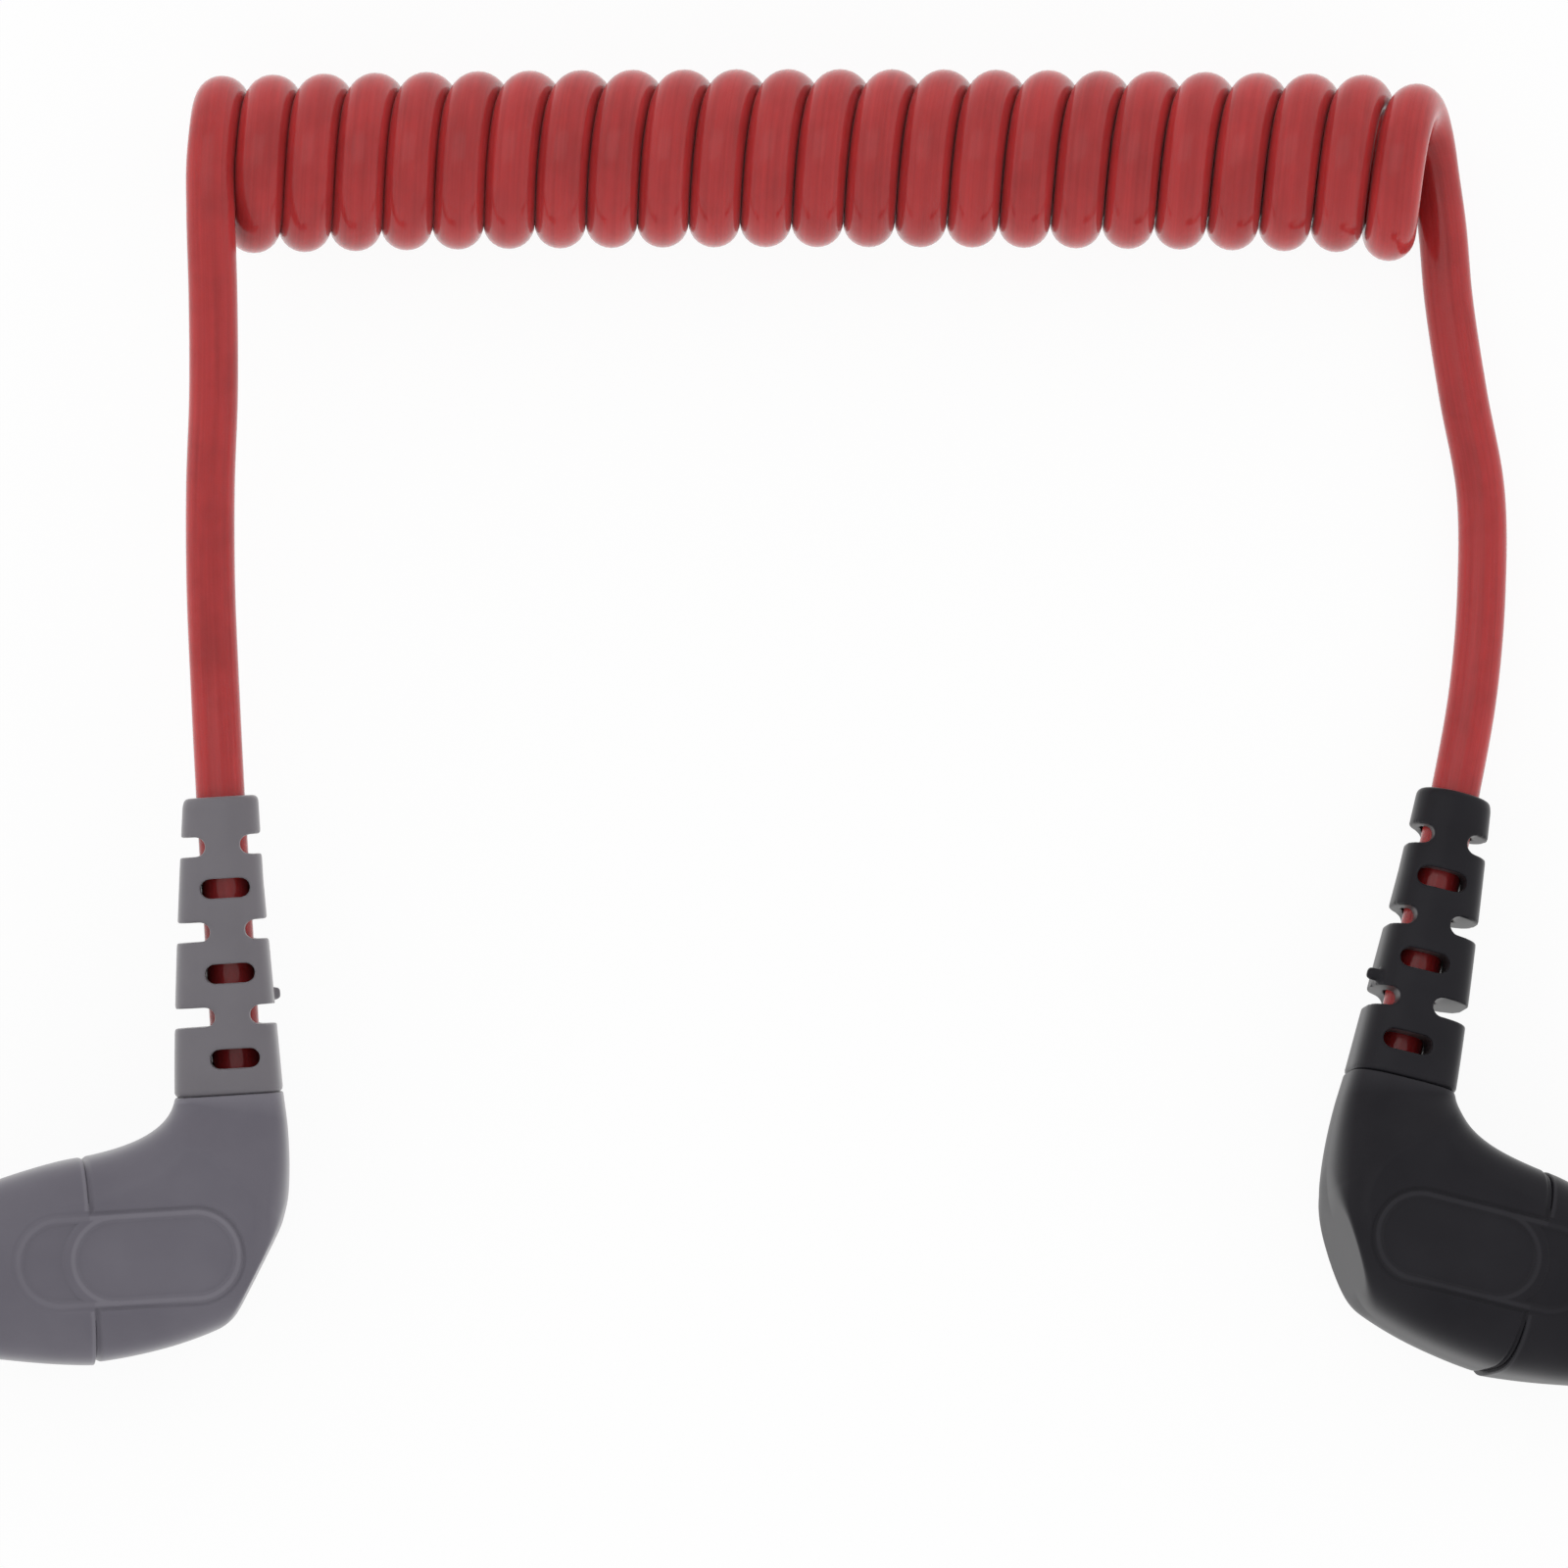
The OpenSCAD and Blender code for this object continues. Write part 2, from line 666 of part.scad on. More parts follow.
module black_jack_tip() { place_black() jack_tip(3); }
module black_tip_insulator() { place_black() jack_insulator(3, 0); }
module black_jack_ring() { place_black() jack_ring(3, 1); }
module black_ring_insulator() { place_black() jack_insulator(3, 1); }
module black_jack_sleeve() { place_black() jack_sleeve(3); }
module black_wire_tip() { place_black() conductor(0, wire_colours[0]); }
module black_wire_ring() { place_black() conductor(1, wire_colours[1]); }
module black_wire_sleeve() { place_black() conductor(2, wire_colours[3]); }
module black_inner_core() { place_black() inner_core(); }
module black_cable_clamp() { place_black() cable_clamp(); }
module black_front_collar() { color(black_plastic) place_black() front_collar(); }
module black_elbow_cover() { color(black_plastic) place_black() elbow_cover(); }
module black_strain_relief() { color(black_rubber) place_black() strain_relief(); }

module lead_grey() { lead(grey_path); }
module lead_black() { lead(black_path); }

grey_jack_tip();
grey_tip_insulator();
grey_jack_ring_front();
grey_front_ring_insulator();
grey_jack_ring_rear();
grey_rear_ring_insulator();
grey_jack_sleeve();
grey_wire_tip();
grey_wire_ring_front();
grey_wire_ring_rear();
grey_wire_sleeve();
grey_inner_core();
grey_cable_clamp();
grey_front_collar();
grey_elbow_cover();
grey_strain_relief();
black_jack_tip();
black_tip_insulator();
black_jack_ring();
black_ring_insulator();
black_jack_sleeve();
black_wire_tip();
black_wire_ring();
black_wire_sleeve();
black_inner_core();
black_cable_clamp();
black_front_collar();
black_elbow_cover();
black_strain_relief();
lead_grey();
coil();
lead_black();
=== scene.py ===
"""A coiled patch lead with two right-angle jack plugs, dressed for rendering, lying on a white floor."""

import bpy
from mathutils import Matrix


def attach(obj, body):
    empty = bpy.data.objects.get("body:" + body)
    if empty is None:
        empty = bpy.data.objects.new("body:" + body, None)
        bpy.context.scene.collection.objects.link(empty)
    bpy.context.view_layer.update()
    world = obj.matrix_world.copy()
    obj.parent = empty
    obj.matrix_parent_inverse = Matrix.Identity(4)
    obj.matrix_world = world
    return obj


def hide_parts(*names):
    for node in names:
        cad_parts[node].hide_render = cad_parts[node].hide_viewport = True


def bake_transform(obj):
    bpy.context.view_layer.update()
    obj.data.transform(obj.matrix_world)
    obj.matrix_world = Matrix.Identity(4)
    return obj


bl_info = {
    "name": "Coiled Patch Lead",
    "version": (1, 0, 0),
    "blender": (4, 5, 0),
    "location": "View3D > Sidebar > Patch Lead",
    "description": "Builds a coiled audio patch lead, its two right-angle jack plugs and a studio stage",
    "category": "Object",
}

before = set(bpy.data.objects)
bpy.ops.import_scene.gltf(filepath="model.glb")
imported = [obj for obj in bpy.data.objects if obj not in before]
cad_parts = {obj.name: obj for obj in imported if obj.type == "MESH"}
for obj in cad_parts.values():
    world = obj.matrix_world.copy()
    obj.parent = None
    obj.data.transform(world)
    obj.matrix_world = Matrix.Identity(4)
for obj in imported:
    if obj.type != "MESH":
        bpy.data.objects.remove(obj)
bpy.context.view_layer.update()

import bpy
import numpy as np
from bpy.props import FloatProperty, FloatVectorProperty, PointerProperty
from bpy.types import Operator, Panel, PropertyGroup

MM = 0.001

# ---- Colours and nodes


def linear(hex_colour):
    """An sRGB hex colour as three linear numbers, each channel taken through the sRGB curve."""
    channels = np.array([int(hex_colour[i:i + 2], 16) for i in (1, 3, 5)]) / 255
    curve = np.where(channels <= 0.04045, channels / 12.92, ((channels + 0.055) / 1.055) ** 2.4)
    return tuple(curve.tolist())


def add_node(tree, kind, settings=None):
    """A new node of that kind. A setting names a property or an input of it; another node's output is
    linked."""
    node = tree.nodes.new(kind)
    for name, value in (settings or {}).items():
        if isinstance(value, bpy.types.NodeSocket):
            tree.links.new(value, node.inputs[name])
        elif isinstance(name, str) and hasattr(node, name):
            setattr(node, name, value)
        else:
            node.inputs[name].default_value = value
    return node


def new_material(name):
    """A material without nodes, and its node tree."""
    material = bpy.data.materials.new(name)
    material.use_nodes = True
    material.node_tree.nodes.clear()
    return material, material.node_tree


# ---- Numbers and vectors


def mix(a, b, t):
    """The value that lies the share t of the way from a to b."""
    return a + (b - a) * t


def ease(t):
    """A share from 0 to 1 that starts and ends slowly: three times its square less twice its cube."""
    return t * t * (3 - 2 * t)


def unit(v):
    """Vectors brought to a length of 1."""
    return v / np.linalg.norm(v, axis=-1, keepdims=True)


def round_angles(sides):
    """Evenly spaced angles, once round from 0."""
    return 2 * np.pi * np.arange(sides) / sides


def distance_along(points):
    """How far each point lies along the line through all of them."""
    return np.concatenate([[0], np.cumsum(np.linalg.norm(np.diff(points, axis=0), axis=1))])


def turned(axis, degrees):
    """The matrix of a turn about one axis, 0, 1 or 2 for X, Y or Z."""
    a = np.radians(degrees)
    i, j = (axis + 1) % 3, (axis + 2) % 3
    m = np.eye(3)
    m[i, i], m[i, j], m[j, i], m[j, j] = np.cos(a), -np.sin(a), np.sin(a), np.cos(a)
    return m


# ---- Sizes of the lead, in millimetres

CORD_D = 2.5
# The coil: from its axis to the cord's centreline, from turn to turn, where it starts and how far it goes
COIL_R, COIL_PITCH, COIL_TURNS = 3.3, 2.64, 23.5
COIL_AT, COIL_REACH = np.array([-29.5, 47.6, 4.55]), [62, 0, 0]
# How far its middle bows, and how much wider than round its turns are pressed to each side
COIL_BOW, TURN_SPREAD = 0.35, 0.06
# How much further it advances in its last half turn, and how far it sags, after and over how many turns
LAST_ADVANCE, LAST_DROP, DROP_FROM, DROP_OVER = 0.1, 0.4, 22.2, 0.55
# How its turns lean at both ends, how their tops tilt, over how many turns this grows, and how they crowd
FIRST_LEAN, LAST_LEAN, TURN_TILT, TILT_GROWS_OVER, CROWDING = -0.05, 0.01, -0.1, 6, 0.25
# From the coil's ends to the leads, and the leads' routes from there to the mouths of the boots
FIRST_RUN, LAST_RUN = [0, -CORD_D, 0], [0.35, -CORD_D, 0]
GREY_ROUTE = [[-29.4, 41, 7.5], [-29.4, 36, 6.5], [-29.6, 31, 5.3], [-29.6, 26, 4.5], [-29.4, 21, 4.3]]
BLACK_ROUTE = [[33.65, 41, 1.3], [34.4, 36, 1.35], [35.3, 31, 1.35], [35.35, 26, 1.35], [34.95, 21, 1.45]]
# Along a plug's boot: its mouth, and the cord's end inside it
MOUTH_Y, LEAD_END_Y = 23.6, 6.3
# How finely the cord is made, and the round edge that closes its ends
CORD_SIDES, RING_STEP, KNOTS_PER_TURN, END_EDGE = 28, 0.4, 16, 0.3

# Where each plug lies: the turn and the place of the crossing of its two axes
PLUGS = {
    "grey": (turned(2, 3.5), np.array([-27.67, -8.18, 4.5])),
    "black": (
        turned(2, -14.2) @ turned(1, 7.2) @ turned(0, -9.4) @ np.diag([-1.0, 1, -1]),
        np.array([28.69, -7.28, 6.08]),
    ),
}


def placed(points, plug):
    """Points of a plug's own frame in the frame of the whole lead."""
    turn, at = PLUGS[plug]
    return np.asarray(points, float) @ turn.T + at


# ---- Meshes


def add_mesh(name, points, faces, material, smooth=True):
    """A mesh object from points in millimetres and faces: an array of faces with the same number of
    corners, or a list of such arrays."""
    mesh = bpy.data.meshes.new(name)
    sets = faces if isinstance(faces, list) else [faces]
    corners = np.concatenate([f.ravel() for f in sets]).astype(np.int32)
    sizes = np.concatenate([np.full(len(f), f.shape[1]) for f in sets])
    mesh.vertices.add(len(points))
    mesh.vertices.foreach_set("co", (np.asarray(points) * MM).astype(np.float32).ravel())
    mesh.loops.add(len(corners))
    mesh.loops.foreach_set("vertex_index", corners)
    mesh.polygons.add(len(sizes))
    mesh.polygons.foreach_set("loop_start", np.concatenate([[0], np.cumsum(sizes)[:-1]]).astype(np.int32))
    mesh.polygons.foreach_set("use_smooth", np.full(len(sizes), smooth))
    mesh.update(calc_edges=True)
    if mesh.validate():
        raise ValueError(f"{name} has faces that don't hold together")
    mesh.materials.append(material)
    obj = bpy.data.objects.new(name, mesh)
    bpy.context.scene.collection.objects.link(obj)
    return obj


def set_values(obj, name, values, kind="FLOAT"):
    """A number for each point, or three with FLOAT_VECTOR, under a name by which a material reads them."""
    attribute = obj.data.attributes.new(name, kind, "POINT")
    field = "vector" if kind == "FLOAT_VECTOR" else "value"
    attribute.data.foreach_set(field, np.asarray(values, np.float32).ravel())


def belong(obj, plug, slot, *nodes):
    """A plug's piece stands for those CAD nodes, if any, and moves with the plug. The slot is not used."""
    if nodes:
        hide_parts(*nodes)
    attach(obj, f"{plug}_end")


def grid_faces(rings, sides, closed=False):
    """Quads over rings of sides points each. Every ring is closed, and with closed the last one joins the
    first."""
    ring = np.arange(rings if closed else rings - 1)[:, None] * sides
    side = np.arange(sides)[None, :]
    after, beside = (ring + sides) % (rings * sides), (side + 1) % sides
    return np.stack([ring + side, ring + beside, after + beside, after + side], axis=-1).reshape(-1, 4)


def disc_faces(start, sides, middle, flip):
    """Triangles from a ring of points to a middle point."""
    a = start + np.arange(sides)
    b = start + (np.arange(sides) + 1) % sides
    m = np.full(sides, middle)
    return np.stack([b, a, m] if flip else [a, b, m], axis=-1)


def volume(points, faces):
    """The volume inside closed faces: the sum of the pyramids from the origin to each face's triangles."""
    total = 0
    for i in range(1, faces.shape[1] - 1):
        a, b, c = (points[faces[:, k]] for k in (0, i, i + 1))
        total += (a * np.cross(b, c)).sum() / 6
    return total


def closed_rings(rings):
    """Points and outward quads of rings that come back to the first one, as on a pipe with a wall."""
    count, sides = rings.shape[:2]
    points, faces = rings.reshape(-1, 3), grid_faces(count, sides, closed=True)
    return points, faces if volume(points, faces) > 0 else faces[:, ::-1]


def joined(parts):
    """Several sets of points and faces as one."""
    shift = np.cumsum([0] + [len(points) for points, _ in parts[:-1]])
    return (np.concatenate([points for points, _ in parts]),
            np.concatenate([faces + n for (_, faces), n in zip(parts, shift)]))


# ---- Cord


def coil_points(t):
    """Points on the coil's centreline, t turns from the grey lead. Along X they advance by the pitch, and
    a little more in the last half turn; across they go round a circle from its top. The turns lean
    sideways, tilt with their tops towards the grey lead and crowd a little on that side, the middle
    bows, and the last turn sags."""
    along = COIL_PITCH * t + LAST_ADVANCE * ease(np.clip(2 * (t - COIL_TURNS + 0.5), 0, 1))
    across, up = COIL_R * np.sin(2 * np.pi * t), COIL_R * np.cos(2 * np.pi * t)
    lean = mix(FIRST_LEAN, LAST_LEAN, t / COIL_TURNS)
    tilt = TURN_TILT * np.clip(t / TILT_GROWS_OVER, 0, 1)
    arch = 1 - (2 * along / (COIL_PITCH * COIL_TURNS) - 1) ** 2
    drop = LAST_DROP * ease(np.clip((t - DROP_FROM) / DROP_OVER, 0, 1))
    forward = along - CROWDING * arch + lean * across + tilt * up
    return COIL_AT + np.stack([forward, COIL_BOW * arch - drop + across, up], axis=-1)


def smooth_path(knots, values, step):
    """A curve through all the knots, sampled about every step. Between two knots a cubic runs from one to
    the other, with the slope at each knot taken from the parabola through it and its neighbours.
    Values rise in the same way."""
    data = np.column_stack([knots, values])
    at = distance_along(knots)
    gap = np.diff(at)[:, None]
    pace = np.diff(data, axis=0) / gap
    inner = (pace[:-1] * gap[1:] + pace[1:] * gap[:-1]) / (gap[:-1] + gap[1:])
    slope = np.concatenate([pace[:1], inner, pace[-1:]])
    s = np.linspace(0, at[-1], int(np.ceil(at[-1] / step)) + 1)
    i = np.clip(np.searchsorted(at, s, side="right") - 1, 0, len(gap) - 1)
    h = gap[i]
    u = (s - at[i])[:, None] / h
    return ((2 * u ** 3 - 3 * u ** 2 + 1) * data[i] + (u ** 3 - 2 * u ** 2 + u) * h * slope[i]
            + (3 * u ** 2 - 2 * u ** 3) * data[i + 1] + (u ** 3 - u ** 2) * h * slope[i + 1])


def cord_path():
    """The cord's centreline from inside the grey plug to inside the black one, and how far each point has
    gone through the coil, from 0 to 1."""
    in_boot = np.column_stack([np.zeros(4), np.linspace(MOUTH_Y, LEAD_END_Y, 4), np.zeros(4)])
    t = np.arange(0, COIL_TURNS + 1e-6, 1 / KNOTS_PER_TURN)
    coil = coil_points(t)
    knots = np.concatenate([
        placed(in_boot, "grey")[::-1], GREY_ROUTE[::-1], [coil[0] + FIRST_RUN],
        coil,
        [coil[-1] + LAST_RUN], BLACK_ROUTE, placed(in_boot, "black"),
    ])
    before = len(in_boot) + len(GREY_ROUTE) + 1
    values = np.concatenate([np.zeros(before), t / COIL_TURNS, np.ones(before)])
    made = smooth_path(knots, values, RING_STEP)
    return made[:, :3], np.clip(made[:, 3], 0, 1)


def add_cord(settings):
    """The cord is a circle carried along its centreline. Each ring's zero side points away from the
    coil's axis, and the leads carry on from there: up on the grey lead and down on the black one. In
    the coil the soft jacket is pressed a little wider, so that the turns meet."""
    r = settings.cord_d / MM / 2
    centre, through = cord_path()
    along = distance_along(centre)
    ahead = unit(np.gradient(centre, axis=0))
    turn = 2 * np.pi * COIL_TURNS * through
    outward = np.column_stack([np.zeros(len(turn)), np.sin(turn), np.cos(turn)])
    outward = unit(outward - (outward * ahead).sum(1, keepdims=True) * ahead)
    aside = np.cross(ahead, outward)
    spread = TURN_SPREAD * ease(np.clip(2 * COIL_TURNS * np.minimum(through, 1 - through), 0, 1))
    # Two more rings at each end close it in a small round edge
    last = len(centre) - 1
    ring_at = np.concatenate([[0, 0], np.arange(last + 1), [last, last]])
    radius, back = np.full(len(ring_at), r), np.zeros(len(ring_at))
    radius[[0, 1, -2, -1]] -= END_EDGE * np.array([1, 0.3, 0.3, 1])
    back[[0, 1, -2, -1]] = END_EDGE * np.array([-1, -0.7, 0.7, 1])
    middle = centre[ring_at] + ahead[ring_at] * back[:, None]
    angle = round_angles(CORD_SIDES)
    up, out = radius[:, None] * np.cos(angle), (radius + spread[ring_at])[:, None] * np.sin(angle)
    rings = (middle[:, None] + up[..., None] * outward[ring_at][:, None]
             + out[..., None] * aside[ring_at][:, None])
    points = np.concatenate([rings.reshape(-1, 3), middle[[0, -1]]])
    count = len(ring_at) * CORD_SIDES
    faces = [grid_faces(len(ring_at), CORD_SIDES), disc_faces(0, CORD_SIDES, count, True),
             disc_faces(count - CORD_SIDES, CORD_SIDES, count + 1, False)]
    obj = add_mesh("cord", points, faces, jacket_material(settings))
    # Where each point lies in the unrolled jacket: round it in two numbers, and along it
    s = (along[ring_at] + back)[:, None]
    around = np.stack(np.broadcast_arrays(r * np.cos(angle), r * np.sin(angle), s), axis=-1).reshape(-1, 3)
    ends = [[0, 0, s[0, 0]], [0, 0, s[-1, 0]]]
    set_values(obj, "unrolled", np.concatenate([around, ends]), "FLOAT_VECTOR")
    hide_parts("lead_grey", "coil", "lead_black")
    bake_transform(obj)


def jacket_material(settings):
    """Extruded polyurethane jacket: a little translucent, with a satin skin that pales where one looks
    along it. The die leaves fine streaks along it, and its colour clouds slowly. Real streaks are too
    fine to show, so they are drawn 0.2 mm wide and 50 times as long, over a grain of 0.1 mm and clouds
    of 3 mm. All three follow the unrolled jacket, which is measured in millimetres."""
    streaks_per_mm, grains_per_mm, clouds_per_mm = 4.5, 9, 0.35
    material, tree = new_material("polyurethane jacket, extruded")
    unrolled = add_node(tree, "ShaderNodeAttribute", {"attribute_name": "unrolled"}).outputs["Vector"]
    drawn_out = add_node(tree, "ShaderNodeVectorMath", {
        "operation": "MULTIPLY", 0: unrolled, 1: (1, 1, 0.02)})
    streaks = add_node(tree, "ShaderNodeTexNoise", {
        "Vector": drawn_out.outputs[0], "Scale": streaks_per_mm, "Detail": 3, "Roughness": 0.6}).outputs[0]
    clouds = add_node(tree, "ShaderNodeTexNoise", {
        "Vector": unrolled, "Scale": clouds_per_mm, "Detail": 3, "Roughness": 0.6}).outputs[0]
    grain = add_node(tree, "ShaderNodeTexNoise", {
        "Vector": unrolled, "Scale": grains_per_mm, "Detail": 2}).outputs[0]
    streaked = add_node(tree, "ShaderNodeMapRange", {"Value": streaks, "From Min": 0.3, "From Max": 0.7})
    tint = add_node(tree, "ShaderNodeMix", {
        "data_type": "RGBA", 0: streaked.outputs[0],
        6: (*settings.jacket_dark, 1), 7: (*settings.jacket_colour, 1)})
    clouded = add_node(tree, "ShaderNodeMapRange", {"Value": clouds, "From Min": 0.42, "From Max": 0.65})
    tint = add_node(tree, "ShaderNodeMix", {
        "data_type": "RGBA", "blend_type": "MULTIPLY", 0: clouded.outputs[0],
        6: tint.outputs[2], 7: (0.86, 0.84, 0.84, 1)})
    rough = add_node(tree, "ShaderNodeMapRange", {"Value": streaks, "To Min": 0.42, "To Max": 0.6})
    height = add_node(tree, "ShaderNodeMath", {"operation": "ADD", 0: streaks, 1: grain})
    bump = add_node(tree, "ShaderNodeBump", {
        "Height": height.outputs[0], "Strength": 0.35, "Distance": 0.00003})
    shader = add_node(tree, "ShaderNodeBsdfPrincipled", {
        "Base Color": tint.outputs[2], "Roughness": rough.outputs[0], "Normal": bump.outputs[0],
        "Specular IOR Level": 0.0, "Coat Weight": 1.0, "Coat IOR": 1.36, "Coat Roughness": 0.15,
        "Sheen Weight": 0.1, "Sheen Roughness": 0.3,
        "Subsurface Weight": 0.6, "Subsurface Radius": (1.0, 0.2, 0.12), "Subsurface Scale": 0.0008})
    add_node(tree, "ShaderNodeOutputMaterial", {0: shader.outputs[0]})
    return material


# ---- Sizes of the plugs, in millimetres

# In a plug's own frame the axes of the jack and the boot cross at the origin, the jack points to -X, the
# boot to +Y, and the flat faces are square to Z.

# Along the boot and the jack: the elbow's joints with the boot and the collar, and the collar's nose
BOOT_SEAM, FRONT_SEAM, NOSE_X = 8.4, -8.3, -15.2
# Half the flat faces' distance, how far the sections would rise above them, and the rounding between them
FLAT_Z, CROWN, FACE_ROUND = 4.5, 0.25, 0.06
# How square the sections are, on the housing, at the boot's mouth and on the nose, where 2 is round
SQUARENESS, MOUTH_SQUARENESS, NOSE_SQUARENESS = 3.4, 2.2, 2
# The joint's half height and middle and the nose's radius, how far the collar stands proud of the elbow at
# the joint and how much lower it lies there, and the power of its taper
SEAM_HALF_H, SEAM_MIDDLE, NOSE_R, COLLAR_PROUD, COLLAR_LOW = 5.225, 0.425, 3.95, 0.07, 0.07
COLLAR_TAPER = 1.4
# The joint leans by a share of the height, less and less over its reach. Its groove is cut in the elbow
# alone, rises to the face at a pace, and fades out beside the panel.
SEAM_SLANT, SLANT_REACH = 0.11, 3.0
SEAM_GROOVE_W, SEAM_GROOVE_DEPTH, SEAM_GROOVE_PACE, SEAM_FADE = 0.4, 0.12, 1.4, 0.1
# The elbow's outlines: where they start at the boot, and the points that they bend towards or run through
ROOT_IN, ROOT_OUT, ROOT_HALF_T = 3.25, 2.27, 3.0
SEAM_IN, SEAM_OUT = [FRONT_SEAM, SEAM_MIDDLE + SEAM_HALF_H], [FRONT_SEAM, SEAM_MIDDLE - SEAM_HALF_H]
INSIDE_CORNER, SIDE_BULGE, UNDER_BULGE = [-3.6, 6.3], [2.6, 4.9], [-4.1, -4.55]
CHAMFER_TOP, CHAMFER_CORNER, CHAMFER_LOW = np.array([2.03, 2.05]), [1.7, -2.05], np.array([-1.04, -3.22])
# How the flat facet's edges are rounded at half height and at the flat faces
CHAMFER_ROUND, CHAMFER_END_ROUND = 0.6, 0.12
# How the outlines' sections draw together towards the front, and how the inner one and the thickness lead
SECTION_PACE, INNER_PACE, THICKNESS_PACE = 1.35, 1.4, 2.2
# Round edges of the elbow at the boot and at the collar, and of the collar at the elbow and at its nose
ELBOW_REAR_EDGE, ELBOW_FRONT_EDGE, COLLAR_REAR_EDGE, NOSE_EDGE = 0.1, 0.06, 0.08, 0.35
# The oval panel: its rim, its floor's depth and slope, and how far it stands proud of the face
PANEL_AT, PANEL_L, PANEL_H = (-5.95, 0.425), 11.5, 4.65
PANEL_RIM, PANEL_DEPTH, FLOOR_SLOPE, PANEL_PROUD, PANEL_WALL = 0.3, 0.09, 0.12, 0.003, 0.1
# Round the panel: its groove, the power that shapes it, its skirt, and the skirt's last strip, which goes
# down through the face
GROOVE_W, GROOVE_DEPTH, GROOVE_POWER, SKIRT, TUCK_W, TUCK_DEPTH = 0.24, 0.1, 0.6, 0.66, 0.18, 0.06
# Under the panel the face is sunk, from this far outside its outline and over this width
POCKET_DEPTH, POCKET_EDGE, POCKET_SLOPE, POCKET_FROM_Z = 0.45, 0.28, 0.2, 3.6
# The tongue's round end, the collar's share of the panel's groove and of the painted highlight on its rim,
# and how pale the tongue is
TONGUE_X, COLLAR_GROOVE, COLLAR_RIM_HIGHLIGHT, TONGUE_PALE = -6.575, 0.35, 0.45, 0.14
# Widths of the painted highlights, pale bands along the elbow's rear edge and the collar's, and over what a
# band sets in and fades
ELBOW_HIGHLIGHT_W, COLLAR_HIGHLIGHT_W, HIGHLIGHT_RISE, HIGHLIGHT_FALL = 0.32, 0.26, 0.06, 0.1
# The bores for the cord, the core in the collar and round the corner, and the cable clamp
CORD_BORE_R, CORE_BORE_R, CORE_STEP_X, DUCT_R, CLAMP_BORE_R, CORNER_R = 1.3, 2.65, -5.6, 1.55, 1.65, 4.0
# The jack's seat in the collar: the gaps round its anchor and behind it, and the chamfer at its mouth
SEAT_GAP, ANCHOR_SEAT, BORE_CHAMFER = 0.05, 0.01, 0.12
# The boot: its mouth, length and round edges, how its taper bends, its slots by turns through its faces and
# sides, and its stub
MOUTH_HALF_W, BOOT_L, ROOT_EDGE, MOUTH_EDGE, INNER_TAPER, OUTER_PACE = 1.925, 15.2, 0.26, 0.3, 1.25, 1.4
SLOTS, SLOT_PITCH, FIRST_SLOT, SLOT_W, SLOT_L, NECK_W, CUT_HALF_DEPTH = 6, 2.17, 2.5, 1.0, 2.55, 1.75, 6
STUB_AT, STUB_ROOT, STUB_R, STUB_END = (13.4, -1.4), 1.6, 0.32, {"grey": 2.4, "black": 2.65}
# The jack from its tip's end on, its flange and anchor, and the bands between its contacts
JACK_R, JACK_L, TIP_END_X, FLANGE_R, FLANGE_T = 1.75, 14.0, -30.0, 3.0, 0.8
BAND_L, BAND_UNDER, ANCHOR_R, ANCHOR_L, ANCHOR_GROOVE = 0.75, 0.01, 2.3, 2.7, 0.3
# Each plug's number of contacts, its tip's length and its rings'
CONTACTS = {"grey": (4, 4.0, 2.3), "black": (3, 4.4, 2.8)}
# The tip: its widest part, its neck, and the shoulder behind the neck
TIP_R, NECK_R, NECK_L, SHOULDER_RISE, SHOULDER_L = 1.6275, 1.225, 0.25, 0.55, 0.45
# Behind the contacts a rod and nested tubes, with the steps between them, the last one's end and the rod's
ROD_R, TUBE_STEP, TUBE_WALL, TUBE_GAP, TAIL_AT, TAIL_STEP, ROD_END = 0.45, 0.36, 0.16, 0.02, 17.5, 0.8, 21.8
# How much shorter a band's tube is than the contact's, and the fine hole that is left along the tip's axis
BAND_SHORTER, PIN_HOLE_R = 0.4, 0.02
# The rounding of the corners of each piece of the jack
TIP_EDGE, RING_EDGE, SLEEVE_EDGE, BAND_EDGE, LUG_EDGE = 0.14, 0.06, 0.1, 0.02, 0.03
# The solder lugs and the strips that lead to them
LUG_END_X, LUG_L, LUG_HALF_W, LUG_LOW, ROD_LUG_LOW, STRIP_OVERLAP = -8.2, 1.6, 0.3, 0.61, 0.05, 0.2
ROD_LUG_R, SLEEVE_LUG_R = 0.9, 1.8
# The edges that stay sharp are those sharper than this, in degrees
HOUSING_SHARP, JACK_SHARP = 35, 50
# How finely the pieces are made: sides and rings, a corner's steps, the panel's grid and the boot's voxels
ELBOW_SIDES, ELBOW_RINGS, COLLAR_SIDES, COLLAR_RINGS, BOOT_SIDES, BOOT_RINGS = 240, 210, 150, 90, 120, 110
JACK_SIDES, STUB_SIDES, CORNER_STEPS, PANEL_STEP, BOOT_VOXEL = 96, 24, 14, 0.055, 0.085

# ---- Forms that the pieces share


def bend(a, b, c, t):
    """A curve from a to c that leaves a and reaches c in line with b."""
    a, b, c, t = np.asarray(a, float), np.asarray(b, float), np.asarray(c, float), t[:, None]
    return mix(mix(a, b, t), mix(b, c, t), t)


